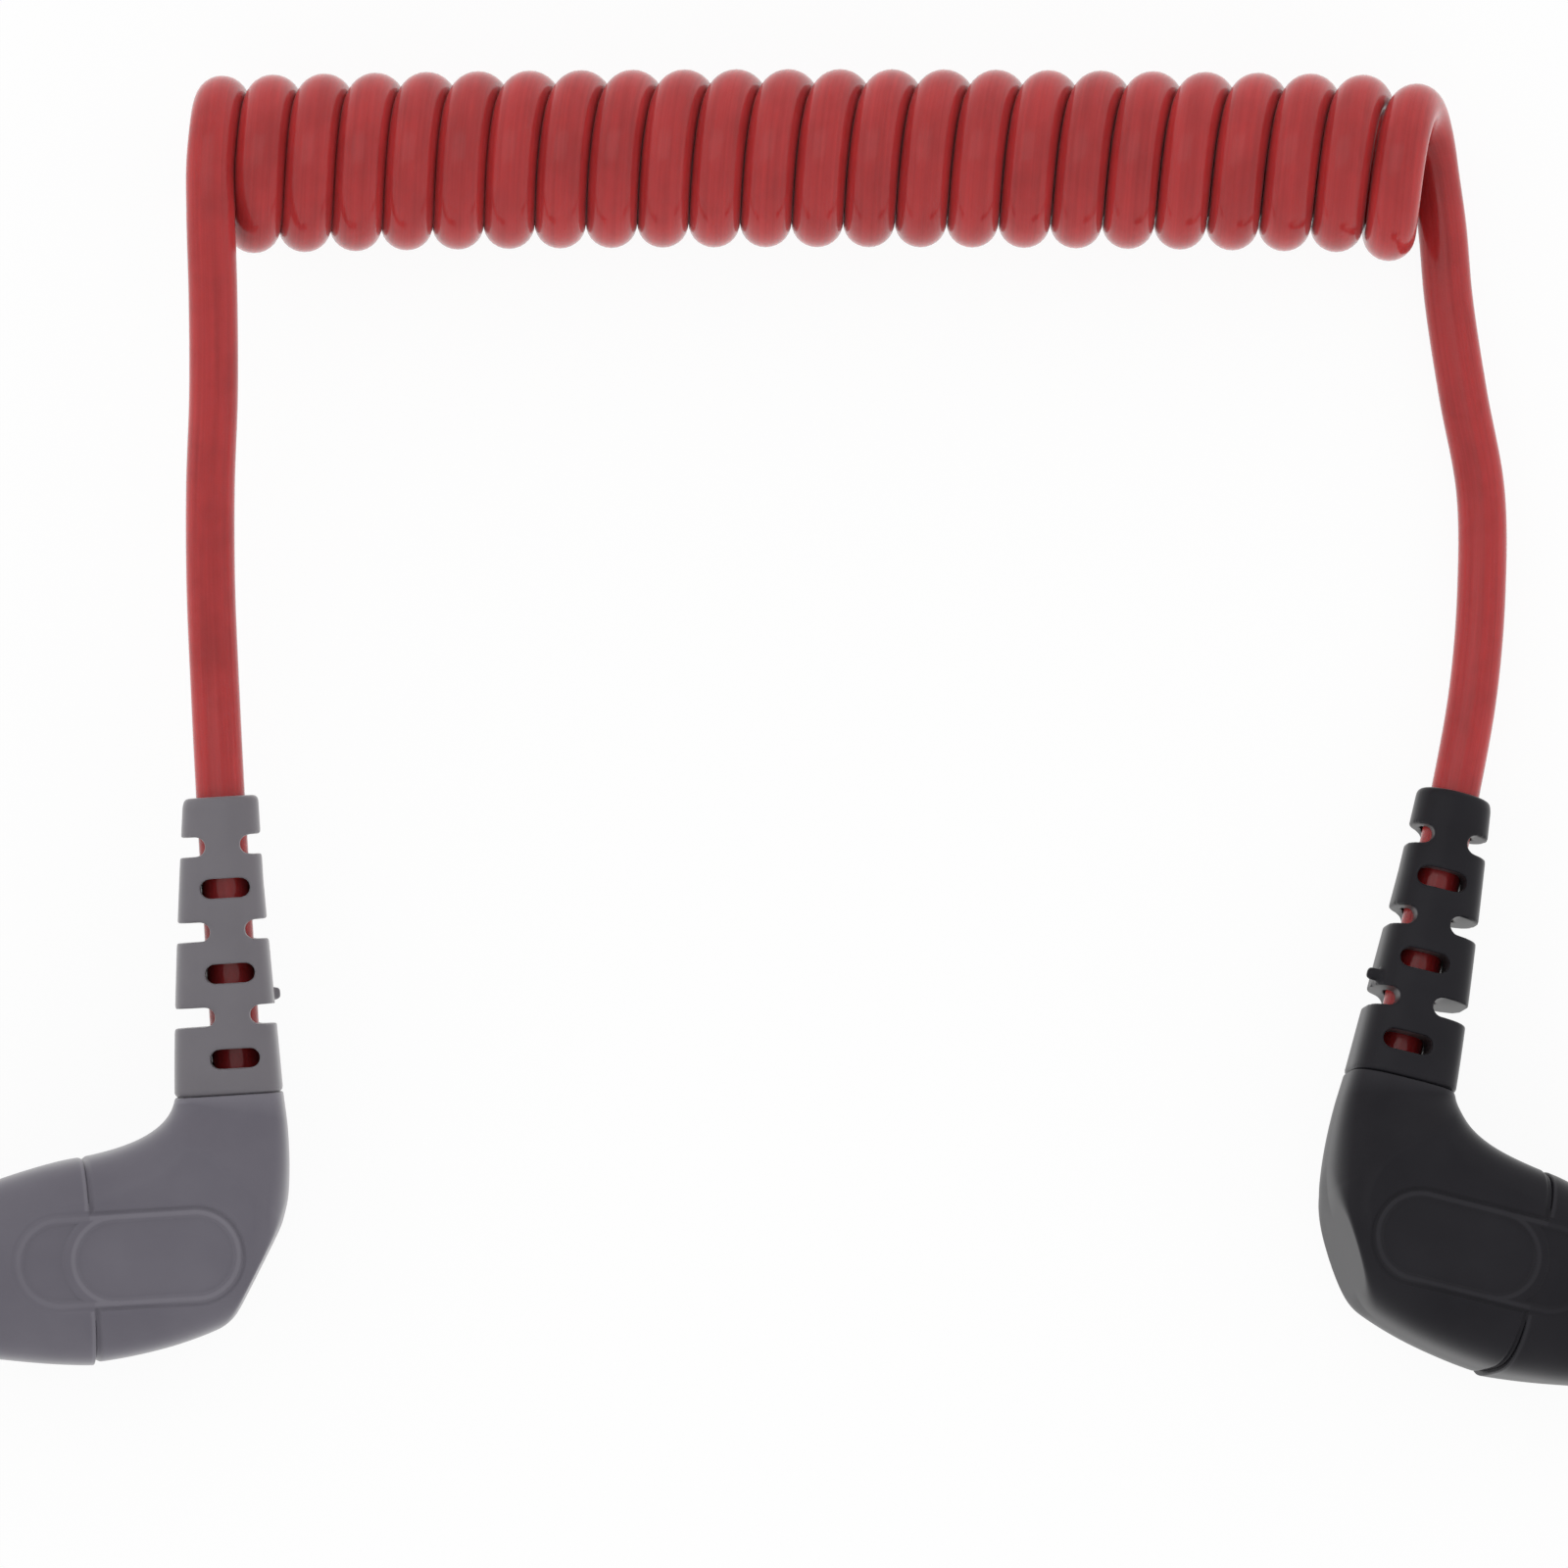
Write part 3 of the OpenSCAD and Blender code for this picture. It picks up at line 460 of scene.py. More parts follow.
def section(centre, across, half_t, squareness, sides):
    """Closed rings between the ends of centre - across and centre + across in the flat plane, and half_t
    up and down. At each angle the radius is where the powers of both shares, added up, make 1: an oval
    that gets squarer with squareness."""
    angle = round_angles(sides)
    half_w = np.linalg.norm(across, axis=1)[:, None]
    n = np.broadcast_to(squareness, half_w[:, 0].shape)[:, None]
    c, s = np.cos(angle)[None], np.sin(angle)[None]
    radius = (np.abs(c / half_w) ** n + np.abs(s / np.asarray(half_t)[:, None]) ** n) ** (-1 / n)
    flat = centre[:, None] + (radius * c)[..., None] * (across / half_w)[:, None]
    return np.concatenate([flat, (radius * s)[..., None]], axis=-1)


def circles(centres, ahead, radius, sides):
    """Circles round the centres, square to ahead, whose zero side lies in the flat plane, to the right of
    ahead."""
    angle = round_angles(sides)[None, :, None]
    right, up = np.cross(ahead, [0, 0, 1.0])[:, None], np.array([0, 0, 1.0])
    spokes = np.cos(angle) * right + np.sin(angle) * up
    return centres[:, None] + np.asarray(radius)[:, None, None] * spokes


def capped(height, limit, round_r):
    """The height up to a limit, with the corner between them rounded: near the limit the two are blended
    by how far one is below the other, and the corner is taken off."""
    share = np.clip(0.5 + 0.5 * (limit - height) / round_r, 0, 1)
    return mix(limit, height, share) - round_r * share * (1 - share)


def with_height(points, z):
    """The points with new heights."""
    return np.concatenate([points[..., :2], z[..., None]], axis=-1)


def flat_faces(points):
    """The points between the housing's two flat faces."""
    z = points[..., 2]
    return with_height(points, np.sign(z) * capped(np.abs(z), FLAT_Z, FACE_ROUND))


def drawn_in(rings, by):
    """Each ring drawn towards its own inside, square to its edge, by one distance a ring or one a point."""
    ahead = unit(np.roll(rings, -1, axis=1) - np.roll(rings, 1, axis=1))
    up = unit(np.cross(ahead, np.roll(ahead, -rings.shape[1] // 4, axis=1)).mean(axis=1))
    return rings + np.cross(up[:, None], ahead) * by.reshape(len(rings), -1, 1)


def with_round_edge(rings, axis, radius, first, steps=5):
    """Rings whose first or last end turns in over a quarter circle: a ring moves along the axis by the
    sine of an angle and in by one less its cosine, times the radius."""
    end = rings[:1] if first else rings[-1:]
    a = np.linspace(0, np.pi / 2, steps + 1)
    out = np.asarray(axis, float) * radius
    start = np.repeat(end - out, steps + 1, axis=0) + out * np.sin(a)[:, None, None]
    edge = drawn_in(start, radius * (1 - np.cos(a)))
    kept = ((rings - end[:, :1]) @ unit(np.asarray(axis, float))).max(axis=1) < -radius
    return np.concatenate([edge[::-1], rings[kept]] if first else [rings[kept], edge])


def edge_highlight(inside, width):
    """How far points that lie so deep inside an edge belong to the painted highlight along it, a pale band,
    from 0 to 1.
    """
    return ease(np.clip(inside / HIGHLIGHT_RISE, 0, 1)) * ease(np.clip((width - inside) / HIGHLIGHT_FALL, 0, 1))


# ---- Elbow, collar and panels


def pill_distance(x, y):
    """How far a point lies outside the panel's outline, an oval with straight sides; less than 0 is
    inside."""
    beyond = np.maximum(np.abs(x - PANEL_AT[0]) - (PANEL_L - PANEL_H) / 2, 0)
    return np.hypot(beyond, y - PANEL_AT[1]) - PANEL_H / 2


def pocketed(points):
    """Points of the flat faces sunk where the blank panel covers them, down a steep smooth slope."""
    x, y, z = np.moveaxis(points, -1, 0)
    share = ease(np.clip((POCKET_EDGE - pill_distance(x, y)) / POCKET_SLOPE, 0, 1))
    sunk = np.where(np.abs(z) > POCKET_FROM_Z, share * POCKET_DEPTH, 0)
    return with_height(points, z - np.sign(z) * sunk)


def slant(x, z):
    """How far a point moves along X as the joint of elbow and collar leans: by a share of its height,
    less further away from the joint."""
    return SEAM_SLANT * z * ease(np.clip(1 - np.abs(x - FRONT_SEAM) / SLANT_REACH, 0, 1))


def slanted(points):
    """The points as the joint's lean moves them."""
    return points + slant(points[..., 0], points[..., 2])[..., None] * np.array([1.0, 0, 0])


def seam_dip(behind):
    """How deep the elbow's face lies below the collar's at a distance behind their joint: full at first,
    it rises to nothing over the groove's width."""
    rise = ease(np.clip(SEAM_GROOVE_PACE * (1 - behind / SEAM_GROOVE_W), 0, 1))
    return np.where(behind < 0, 0, SEAM_GROOVE_DEPTH * rise)


def elbow_outlines():
    """The elbow's inner and outer outline and half its thickness, from the boot's seam to the front seam:
    the inner outline is one curve and the outer one three, and it gets thicker until it is as thick as
    the jack's end."""
    t = 1 - np.linspace(1, 0, ELBOW_RINGS) ** SECTION_PACE
    inner = bend([-ROOT_IN, BOOT_SEAM], INSIDE_CORNER, SEAM_IN, t ** INNER_PACE)
    side = bend([ROOT_OUT, BOOT_SEAM], SIDE_BULGE, CHAMFER_TOP, 3 * t)
    corner = bend(CHAMFER_TOP, CHAMFER_CORNER, CHAMFER_LOW, 3 * t - 1)
    under = bend(CHAMFER_LOW, UNDER_BULGE, SEAM_OUT, 3 * t - 2)
    outer = np.where((t < 1 / 3)[:, None], side, np.where((t < 2 / 3)[:, None], corner, under))
    return inner, outer, mix(ROOT_HALF_T, FLAT_Z + CROWN, ease(np.clip(THICKNESS_PACE * t, 0, 1)))


def face_height(x, y):
    """The height of the elbow's face over a point. Its side of each section's line tells the section
    through it, and its share of that section's width tells the height."""
    inner, outer, half_t = elbow_outlines()
    run = outer - inner
    side = run[:, 0] * (y[..., None] - inner[:, 1]) - run[:, 1] * (x[..., None] - inner[:, 0])
    k = np.argmax(side[..., :-1] * side[..., 1:] <= 0, axis=-1)
    before, after = (np.take_along_axis(side, i[..., None], -1)[..., 0] for i in (k, k + 1))
    t = np.divide(before, before - after, out=np.zeros_like(before), where=before != after)
    start, run = (mix(v[k], v[k + 1], t[..., None]) for v in (inner, run))
    u = 2 * ((np.stack([x, y], axis=-1) - start) * run).sum(-1) / (run * run).sum(-1) - 1
    share = np.maximum(1 - np.abs(u) ** SQUARENESS, 0) ** (1 / SQUARENESS)
    return capped(mix(half_t[k], half_t[k + 1], t) * share, FLAT_Z, FACE_ROUND)


def chamfered(points):
    """Points behind the flat facet on the corner, brought onto it. Its edges are rounded, most at half
    height."""
    run = unit(CHAMFER_LOW - CHAMFER_TOP)
    out = np.array([-run[1], run[0]])
    depth = (points[..., :2] - CHAMFER_TOP) @ out
    round_r = mix(CHAMFER_ROUND, CHAMFER_END_ROUND, np.abs(points[..., 2]) / (FLAT_Z + CROWN))
    moved = capped(depth, 0.0, round_r) - depth
    return np.concatenate([points[..., :2] + moved[..., None] * out, points[..., 2:]], axis=-1)


def elbow_shape():
    """The elbow's closed skin: the outer sections from the boot's seam to the front seam, then back
    through the bore, which is wide behind the jack and narrow round the corner. The third result tells
    its painted highlight, a pale band along its rear edge."""
    inner, outer, half_t = elbow_outlines()
    rings = section((inner + outer) / 2, (outer - inner) / 2, half_t, SQUARENESS, ELBOW_SIDES)
    rings = with_round_edge(rings, [0, 1, 0], ELBOW_REAR_EDGE, first=True)
    rings = with_round_edge(rings, [-1, 0, 0], ELBOW_FRONT_EDGE, first=False)
    rings = flat_faces(chamfered(rings))
    rings = slanted(pocketed(drawn_in(rings, seam_dip(rings[..., 0] - FRONT_SEAM))))
    a = np.linspace(np.pi / 2, 0, CORNER_STEPS)
    corner = np.column_stack([-CORNER_R + CORNER_R * np.cos(a), CORNER_R - CORNER_R * np.sin(a), 0 * a])
    centres = np.concatenate([[[FRONT_SEAM, 0, 0], [CORE_STEP_X, 0, 0], [CORE_STEP_X, 0, 0]], corner,
                              [[0, LEAD_END_Y, 0], [0, LEAD_END_Y, 0], [0, BOOT_SEAM, 0]]])
    turning = np.column_stack([np.sin(a), np.cos(a), 0 * a])
    toward = np.concatenate([[[1.0, 0, 0]] * 3, turning, [[0, 1.0, 0]] * 3])
    radius = [CORE_BORE_R] * 2 + [DUCT_R] * (CORNER_STEPS + 2) + [CLAMP_BORE_R] * 2
    bore = slanted(circles(centres, toward, radius, ELBOW_SIDES))
    points, faces = closed_rings(np.concatenate([rings, bore]))
    # The painted highlight: a pale band along the rear edge, where light catches it
    return points, faces, edge_highlight(BOOT_SEAM - points[:, 1], ELBOW_HIGHLIGHT_W)


def collar_size(x):
    """Half height, middle, half thickness and squareness of the collar at x. All run from the seam's
    values to the nose's, the sizes with a power of the share of the way."""
    t = (FRONT_SEAM - x) / (FRONT_SEAM - NOSE_X)
    taper = np.clip(t, 0, 1) ** COLLAR_TAPER
    return (mix(SEAM_HALF_H + COLLAR_PROUD, NOSE_R, taper), mix(SEAM_MIDDLE - COLLAR_LOW, 0, taper),
            mix(FLAT_Z + CROWN, NOSE_R, taper), mix(SQUARENESS, NOSE_SQUARENESS, t))


def collar_shape():
    """The collar's closed skin: sections from the front seam to the round nose, in over its front edge,
    and back through the bore that holds the jack's anchor. The third result tells its painted highlight."""
    x = np.linspace(FRONT_SEAM, NOSE_X, COLLAR_RINGS)
    half_h, middle, half_t, squareness = collar_size(x)
    down = np.column_stack([np.zeros(COLLAR_RINGS), -half_h])
    rings = section(np.column_stack([x, middle]), down, half_t, squareness, COLLAR_SIDES)
    rings = with_round_edge(rings, [1, 0, 0], COLLAR_REAR_EDGE, first=True)
    rings = with_round_edge(rings, [-1, 0, 0], NOSE_EDGE, first=False)
    rings = slanted(pocketed(flat_faces(rings)))
    seat_r, seat_x = ANCHOR_R + SEAT_GAP, TIP_END_X + JACK_L + FLANGE_T + ANCHOR_L + ANCHOR_SEAT
    bore_x = np.array([NOSE_X, NOSE_X + BORE_CHAMFER, seat_x, seat_x, FRONT_SEAM])
    radius = [seat_r + BORE_CHAMFER, seat_r, seat_r, CORE_BORE_R, CORE_BORE_R]
    bore = circles(bore_x[:, None] * [1, 0, 0], np.array([[1.0, 0, 0]] * 5), radius, COLLAR_SIDES)
    points, faces = closed_rings(np.concatenate([rings, slanted(bore)]))
    # The painted highlight: a pale band along the collar's edge at its joint with the elbow
    return points, faces, edge_highlight(FRONT_SEAM + SEAM_SLANT * points[:, 2] - points[:, 0], COLLAR_HIGHLIGHT_W)


def panel_grid():
    """A fine square grid over the panel and its skirt, as the X and Y of its points and quads. Points
    just outside the skirt's round outline move onto it, and what lies further out is left off."""
    half_l, half_h = PANEL_L / 2 + SKIRT, PANEL_H / 2 + SKIRT
    x = np.arange(PANEL_AT[0] - half_l - PANEL_STEP / 2, PANEL_AT[0] + half_l + PANEL_STEP, PANEL_STEP)
    y = np.arange(PANEL_AT[1] - half_h - PANEL_STEP / 2, PANEL_AT[1] + half_h + PANEL_STEP, PANEL_STEP)
    gx, gy = np.meshgrid(x, y, indexing="ij")
    out = pill_distance(gx, gy) - SKIRT
    reach = (PANEL_L - PANEL_H) / 2
    axis_x = PANEL_AT[0] + np.clip(gx - PANEL_AT[0], -reach, reach)
    far = np.hypot(gx - axis_x, gy - PANEL_AT[1])
    pull = np.where((out > 0) & (out < PANEL_STEP * 1.5), half_h / np.maximum(far, 1e-6), 1.0)
    gx, gy = axis_x + (gx - axis_x) * pull, PANEL_AT[1] + (gy - PANEL_AT[1]) * pull
    keep = pill_distance(gx, gy) - SKIRT < 1e-6
    i, j = np.nonzero(keep[:-1, :-1] & keep[1:, :-1] & keep[:-1, 1:] & keep[1:, 1:])
    a = i * len(y) + j
    used, faces = np.unique(np.stack([a, a + len(y), a + len(y) + 1, a + 1], axis=-1), return_inverse=True)
    return gx.ravel()[used], gy.ravel()[used], faces.reshape(-1, 4)


def panel_shape(side):
    """The blank oval panel on one flat face, as a height over a grid. From its outline inwards come a low
    rim and a floor a little below it, and outwards a fine groove. The elbow's tongue, with a round end
    and a rim of its own, fills all but the panel's front end, and the leaning joint is a groove on
    both sides. The third result tells the painted highlights, pale bands on the rims and along the
    collar's edge, and the tongue's paler tone."""
    x, y, faces = panel_grid()
    d = pill_distance(x, y)
    # Where each point lay before the joint was made to lean
    upright = x
    for _ in range(6):
        upright = x - slant(upright, side * FLAT_Z)
    behind = upright - FRONT_SEAM
    on_collar = behind < 0
    half_h, middle, half_t, n = collar_size(np.minimum(upright, FRONT_SEAM))
    collar_z = half_t * np.maximum(1 - np.abs((y - middle) / half_h) ** n, 0) ** (1 / n)
    elbow_z = face_height(np.maximum(upright, FRONT_SEAM + 0.001), y)
    face_z = np.where(on_collar, capped(collar_z, FLAT_Z, FACE_ROUND), elbow_z)
    groove = np.clip(1 - np.abs(d - GROOVE_W / 2) / (GROOVE_W / 2), 0, 1) ** GROOVE_POWER
    groove = GROOVE_DEPTH * np.where(on_collar, COLLAR_GROOVE, 1) * groove
    seam = seam_dip(behind) * ease(np.clip(d / SEAM_FADE, 0, 1))
    tongue = np.where(x < TONGUE_X, np.hypot(x - TONGUE_X, y - PANEL_AT[1]) - PANEL_H / 2, d)
    floor = PANEL_DEPTH * ease(np.clip((np.minimum(np.abs(tongue), -d) - PANEL_RIM) / FLOOR_SLOPE, 0, 1))
    tuck = TUCK_DEPTH * np.clip((d - SKIRT + TUCK_W) / TUCK_W, 0, 1) ** 2
    z = face_z - np.maximum(groove, seam) - floor - tuck + PANEL_PROUD
    # Painted highlights: pale bands on the panel's rim, weaker on the collar's part, and on the tongue's
    # rim; the tongue's own paler tone; and outside the groove the pale band along the collar's edge
    rim = (edge_highlight(-d, PANEL_RIM) * np.where(on_collar, COLLAR_RIM_HIGHLIGHT, 1)
           + edge_highlight(-tongue, PANEL_RIM) * (x < TONGUE_X))
    rim = np.maximum(np.clip(rim, 0, 1), TONGUE_PALE * (tongue < 0))
    rim = np.where(d > GROOVE_W, edge_highlight(-behind, COLLAR_HIGHLIGHT_W), rim)
    return np.column_stack([x, y, side * z]), faces if side > 0 else faces[:, ::-1], rim


def keep_sharp(obj, degrees):
    """Edges sharper than so many degrees stay sharp, and the others are shaded as round."""
    obj.data.set_sharp_from_angle(angle=np.radians(degrees))


def add_housing(plug, name, shape, material, *nodes):
    """A piece of a plug's housing from its points, its faces and how much each point takes of the painted
    highlights and of the tongue's paler tone."""
    points, faces, rim = shape
    obj = add_mesh(f"{plug}_{name}", placed(points, plug), faces, material)
    # The painted highlights, and the tongue's paler tone, go to the material as an attribute
    set_values(obj, "rim", rim)
    belong(obj, plug, f"housing_{plug}", *nodes)
    return obj


def add_panels(plug, material):
    """The blank panels on both faces, each a skin that a modifier gives its wall."""
    for name, side in (("top", 1), ("under", -1)):
        obj = add_housing(plug, f"panel_{name}", panel_shape(side), material)
        wall = obj.modifiers.new("wall", "SOLIDIFY")
        wall.thickness, wall.offset = PANEL_WALL * MM, -1


# ---- Boot


def boot_skin():
    """The boot's closed skin before its slots: sections that taper from the root to the mouth and get
    rounder, in over the mouth's edge and back through the cord's bore."""
    t = np.linspace(0, 1, BOOT_RINGS)
    inner = mix(ROOT_IN, MOUTH_HALF_W, t ** INNER_TAPER)
    outer = mix(ROOT_OUT, MOUTH_HALF_W, np.clip(OUTER_PACE * t, 0, 1))
    centre = np.column_stack([(outer - inner) / 2, BOOT_SEAM + BOOT_L * t])
    across = np.column_stack([(outer + inner) / 2, 0 * t])
    half_t, squareness = mix(ROOT_HALF_T, MOUTH_HALF_W, t), mix(SQUARENESS, MOUTH_SQUARENESS, t)
    rings = section(centre, across, half_t, squareness, BOOT_SIDES)
    rings = with_round_edge(rings, [0, -1, 0], ROOT_EDGE, first=True)
    rings = with_round_edge(rings, [0, 1, 0], MOUTH_EDGE, first=False, steps=8)
    ends = np.array([[0, MOUTH_Y, 0], [0, BOOT_SEAM, 0]])
    bore = circles(ends, np.array([[0, 1.0, 0]] * 2), [CORD_BORE_R] * 2, BOOT_SIDES)
    return closed_rings(np.concatenate([rings, bore]))


def slot_prism(x, y, length, steps=12):
    """A slot's outline with two round ends, along X, carried through the boot along Z."""
    a = np.linspace(-np.pi / 2, np.pi / 2, steps)
    right = np.column_stack([(length - SLOT_W) / 2 + SLOT_W / 2 * np.cos(a), SLOT_W / 2 * np.sin(a)])
    outline = np.concatenate([right, -right]) + [x, y]
    sides = len(outline)
    rings = [np.column_stack([outline, np.full(sides, z)]) for z in (-CUT_HALF_DEPTH, CUT_HALF_DEPTH)]
    points = np.concatenate([*rings, [[x, y, -CUT_HALF_DEPTH], [x, y, CUT_HALF_DEPTH]]])
    lids = [disc_faces(0, sides, 2 * sides, True), disc_faces(sides, sides, 2 * sides + 1, False)]
    return points, grid_faces(2, sides), np.concatenate(lids)


def boot_slots():
    """What cuts the boot's slots: from the mouth on, a notch in both sides and a window by turns."""
    prisms = []
    for i in range(SLOTS):
        y = MOUTH_Y - FIRST_SLOT - i * SLOT_PITCH
        if i % 2:
            prisms.append(slot_prism(0, y, SLOT_L))
        else:
            prisms += [slot_prism(side * (NECK_W / 2 + SLOT_L), y, 2 * SLOT_L) for side in (-1, 1)]
    points, walls = joined([(p, wall) for p, wall, _ in prisms])
    _, lids = joined([(p, lid) for p, _, lid in prisms])
    return points, [walls, lids]


def gate_stub(end):
    """The short round stub that is left on one side of the boot where the mould was filled: circles along
    X, smaller and smaller at its rounded end."""
    x = np.array([STUB_ROOT, STUB_ROOT, end - 0.15, end - 0.03, end, end])
    radius = [0.01, STUB_R, STUB_R, 0.26, 0.14, 0.01]
    centres = np.column_stack([x, np.full(6, STUB_AT[0]), np.full(6, STUB_AT[1])])
    return closed_rings(circles(centres, np.array([[1.0, 0, 0]] * 6), radius, STUB_SIDES))


def add_boot(plug, material):
    """The slotted boot. Its gate stub is joined to the skin and the slots are cut from it; then the whole
    is remeshed finely and smoothed, as a soft moulding has no sharp edge. All this is done at a
    thousand times the size."""
    shapes = {"skin": boot_skin(), "stub": gate_stub(STUB_END[plug]), "slots": boot_slots()}
    rough = {name: add_mesh(f"boot_{name}", points / MM, faces, material)
             for name, (points, faces) in shapes.items()}
    skin = rough["skin"]
    for name, operation in (("stub", "UNION"), ("slots", "DIFFERENCE")):
        change = skin.modifiers.new(name, "BOOLEAN")
        change.object, change.operation, change.solver = rough[name], operation, "EXACT"
    fine = skin.modifiers.new("fine", "REMESH")
    fine.mode, fine.voxel_size = "VOXEL", BOOT_VOXEL
    soft = skin.modifiers.new("soft", "SMOOTH")
    soft.factor, soft.iterations = 0.5, 8
    mesh = bpy.data.meshes.new_from_object(skin.evaluated_get(bpy.context.evaluated_depsgraph_get()))
    for obj in rough.values():
        bpy.data.meshes.remove(obj.data)
    points = np.zeros(len(mesh.vertices) * 3)
    mesh.vertices.foreach_get("co", points)
    mesh.vertices.foreach_set("co", (placed(points.reshape(-1, 3), plug) * MM).astype(np.float32).ravel())
    mesh.polygons.foreach_set("use_smooth", np.ones(len(mesh.polygons), bool))
    mesh.name = f"{plug}_boot"
    mesh.materials.clear()
    mesh.materials.append(material)
    mesh.update()
    obj = bpy.data.objects.new(f"{plug}_boot", mesh)
    bpy.context.scene.collection.objects.link(obj)
    belong(obj, plug, f"boot_{plug}", f"{plug}_strain_relief")


# ---- Jack


def eased(profile, radius, steps=4):
    """A closed profile with its corners rounded: each corner becomes a curve that leaves one side and
    joins the next, at most radius from the corner and 0.45 of the shorter side."""
    before, after = np.roll(profile, 1, axis=0) - profile, np.roll(profile, -1, axis=0) - profile
    short = np.minimum(np.linalg.norm(before, axis=1), np.linalg.norm(after, axis=1))
    d = np.minimum(radius, 0.45 * short)[:, None]
    a, c = profile + unit(before) * d, profile + unit(after) * d
    u = np.linspace(0, 1, steps)[None, :, None]
    curve = mix(mix(a[:, None], profile[:, None], u), mix(profile[:, None], c[:, None], u), u)
    return curve.reshape(-1, 2)


def lathe(profile, corner_r):
    """A profile of (s, r) points, its corners eased, carried round the jack's axis; s counts from the
    tip's end."""
    profile = eased(np.array(profile), corner_r)
    angle = round_angles(JACK_SIDES)
    s, r = profile[:, :1], profile[:, 1:]
    rings = np.broadcast_arrays(TIP_END_X + s, r * np.cos(angle), r * np.sin(angle))
    return closed_rings(np.stack(rings, axis=-1))


def bar(k, x0, x1, low, high):
    """A straight lug or strip along the jack, in contact k's quarter round the axis: a rectangle with its
    edges broken, carried from x0 to x1 and closed by rings that shrink to its middle."""
    w = LUG_HALF_W
    outline = eased(np.array([[low, -w], [high, -w], [high, w], [low, w]]), LUG_EDGE, 3)
    a = np.radians(45 + 90 * k)
    y = outline[:, 0] * np.cos(a) - outline[:, 1] * np.sin(a)
    z = outline[:, 0] * np.sin(a) + outline[:, 1] * np.cos(a)
    rings = []
    for x, share in ((x0, 0.02), (x0, 0.97), (x0 + LUG_EDGE, 1),
                     (x1 - LUG_EDGE, 1), (x1, 0.97), (x1, 0.02)):
        flat = mix(np.mean(y), y, share), mix(np.mean(z), z, share)
        rings.append(np.column_stack([np.full(len(y), x), *flat]))
    return closed_rings(np.stack(rings))


def tube_r(k):
    """The outer radius of contact k's tube behind it."""
    return ROD_R + TUBE_STEP * k


def tail_at(plug, k):
    """How far from the tip's end contact k's tube reaches back: each tube ends behind the one round it."""
    return TAIL_AT + (CONTACTS[plug][0] - 1 - k) * TAIL_STEP


def terminal(plug, k, strip_r):
    """The strip and the solder lug behind contact k."""
    strip_x = LUG_END_X - LUG_L if k == 0 else TIP_END_X + tail_at(plug, k) - STRIP_OVERLAP
    return [bar(k, strip_x, LUG_END_X, strip_r - TUBE_WALL, strip_r),
            bar(k, LUG_END_X - LUG_L, LUG_END_X, LUG_LOW if k else ROD_LUG_LOW, strip_r)]


def jack_pieces(plug):
    """The jack's contacts and insulators by CAD node: each a profile turned round the axis, a contact
    with its lug."""
    poles, tip_l, ring_l = CONTACTS[plug]
    start = [0] + [tip_l + BAND_L + k * (ring_l + BAND_L) for k in range(poles - 1)]
    end = [tip_l] + [s + ring_l for s in start[1:]]
    tail = [tail_at(plug, k) for k in range(poles)]
    shoulder = tip_l - SHOULDER_L
    neck = shoulder - SHOULDER_RISE
    tip = lathe([
        [0, PIN_HOLE_R], [0, 0.35], [0.65, 1.2775], [1.35, TIP_R], [1.75, TIP_R], [neck - NECK_L, NECK_R],
        [neck, NECK_R], [shoulder, JACK_R], [tip_l, JACK_R], [tip_l, ROD_R], [ROD_END, ROD_R],
        [ROD_END, PIN_HOLE_R],
    ], TIP_EDGE)
    made = {f"{plug}_jack_tip": [tip, *terminal(plug, 0, ROD_LUG_R)]}
    for k, name in enumerate(["ring"] if poles == 3 else ["ring_front", "ring_rear"], 1):
        outer = tube_r(k)
        inner = outer - TUBE_WALL
        ring = lathe([[start[k], inner], [start[k], JACK_R], [end[k], JACK_R], [end[k], outer],
                      [tail[k], outer], [tail[k], inner]], RING_EDGE)
        made[f"{plug}_jack_{name}"] = [ring, *terminal(plug, k, outer)]
    k = poles - 1
    inner, rear, third = tube_r(k) - TUBE_WALL, JACK_L + FLANGE_T, ANCHOR_L / 3
    groove_r = ANCHOR_R - ANCHOR_GROOVE
    sleeve = lathe([
        [start[k], inner], [start[k], JACK_R], [JACK_L, JACK_R], [JACK_L, FLANGE_R], [rear, FLANGE_R],
        [rear, ANCHOR_R], [rear + third, ANCHOR_R], [rear + third, groove_r], [rear + 2 * third, groove_r],
        [rear + 2 * third, ANCHOR_R], [rear + ANCHOR_L, ANCHOR_R], [rear + ANCHOR_L, inner],
    ], SLEEVE_EDGE)
    made[f"{plug}_jack_sleeve"] = [sleeve, *terminal(plug, k, SLEEVE_LUG_R)]
    for k, name in enumerate(["tip", "ring"] if poles == 3 else ["tip", "front_ring", "rear_ring"]):
        inner, band_r, back = tube_r(k) + TUBE_GAP, JACK_R - BAND_UNDER, end[k] + BAND_L
        made[f"{plug}_{name}_insulator"] = [lathe([
            [end[k], inner], [end[k], band_r], [back, band_r], [back, inner + TUBE_WALL],
            [tail[k] - BAND_SHORTER, inner + TUBE_WALL], [tail[k] - BAND_SHORTER, inner]], BAND_EDGE)]
    return made


def add_jack(plug, metal, plastic):
    """The jack's contacts in metal and its insulating bands in plastic."""
    for node, parts in jack_pieces(plug).items():
        points, faces = joined(parts)
        is_band = node.endswith("insulator")
        name = node.replace("_insulator", "_band") if is_band else node.replace("_jack_", "_contact_")
        obj = add_mesh(name, placed(points, plug), faces, plastic if is_band else metal)
        keep_sharp(obj, JACK_SHARP)
        set_values(obj, "along_jack", points[:, 0])
        belong(obj, plug, "insulator" if is_band else "gold_plate", node)


# ---- Finishes of the plugs


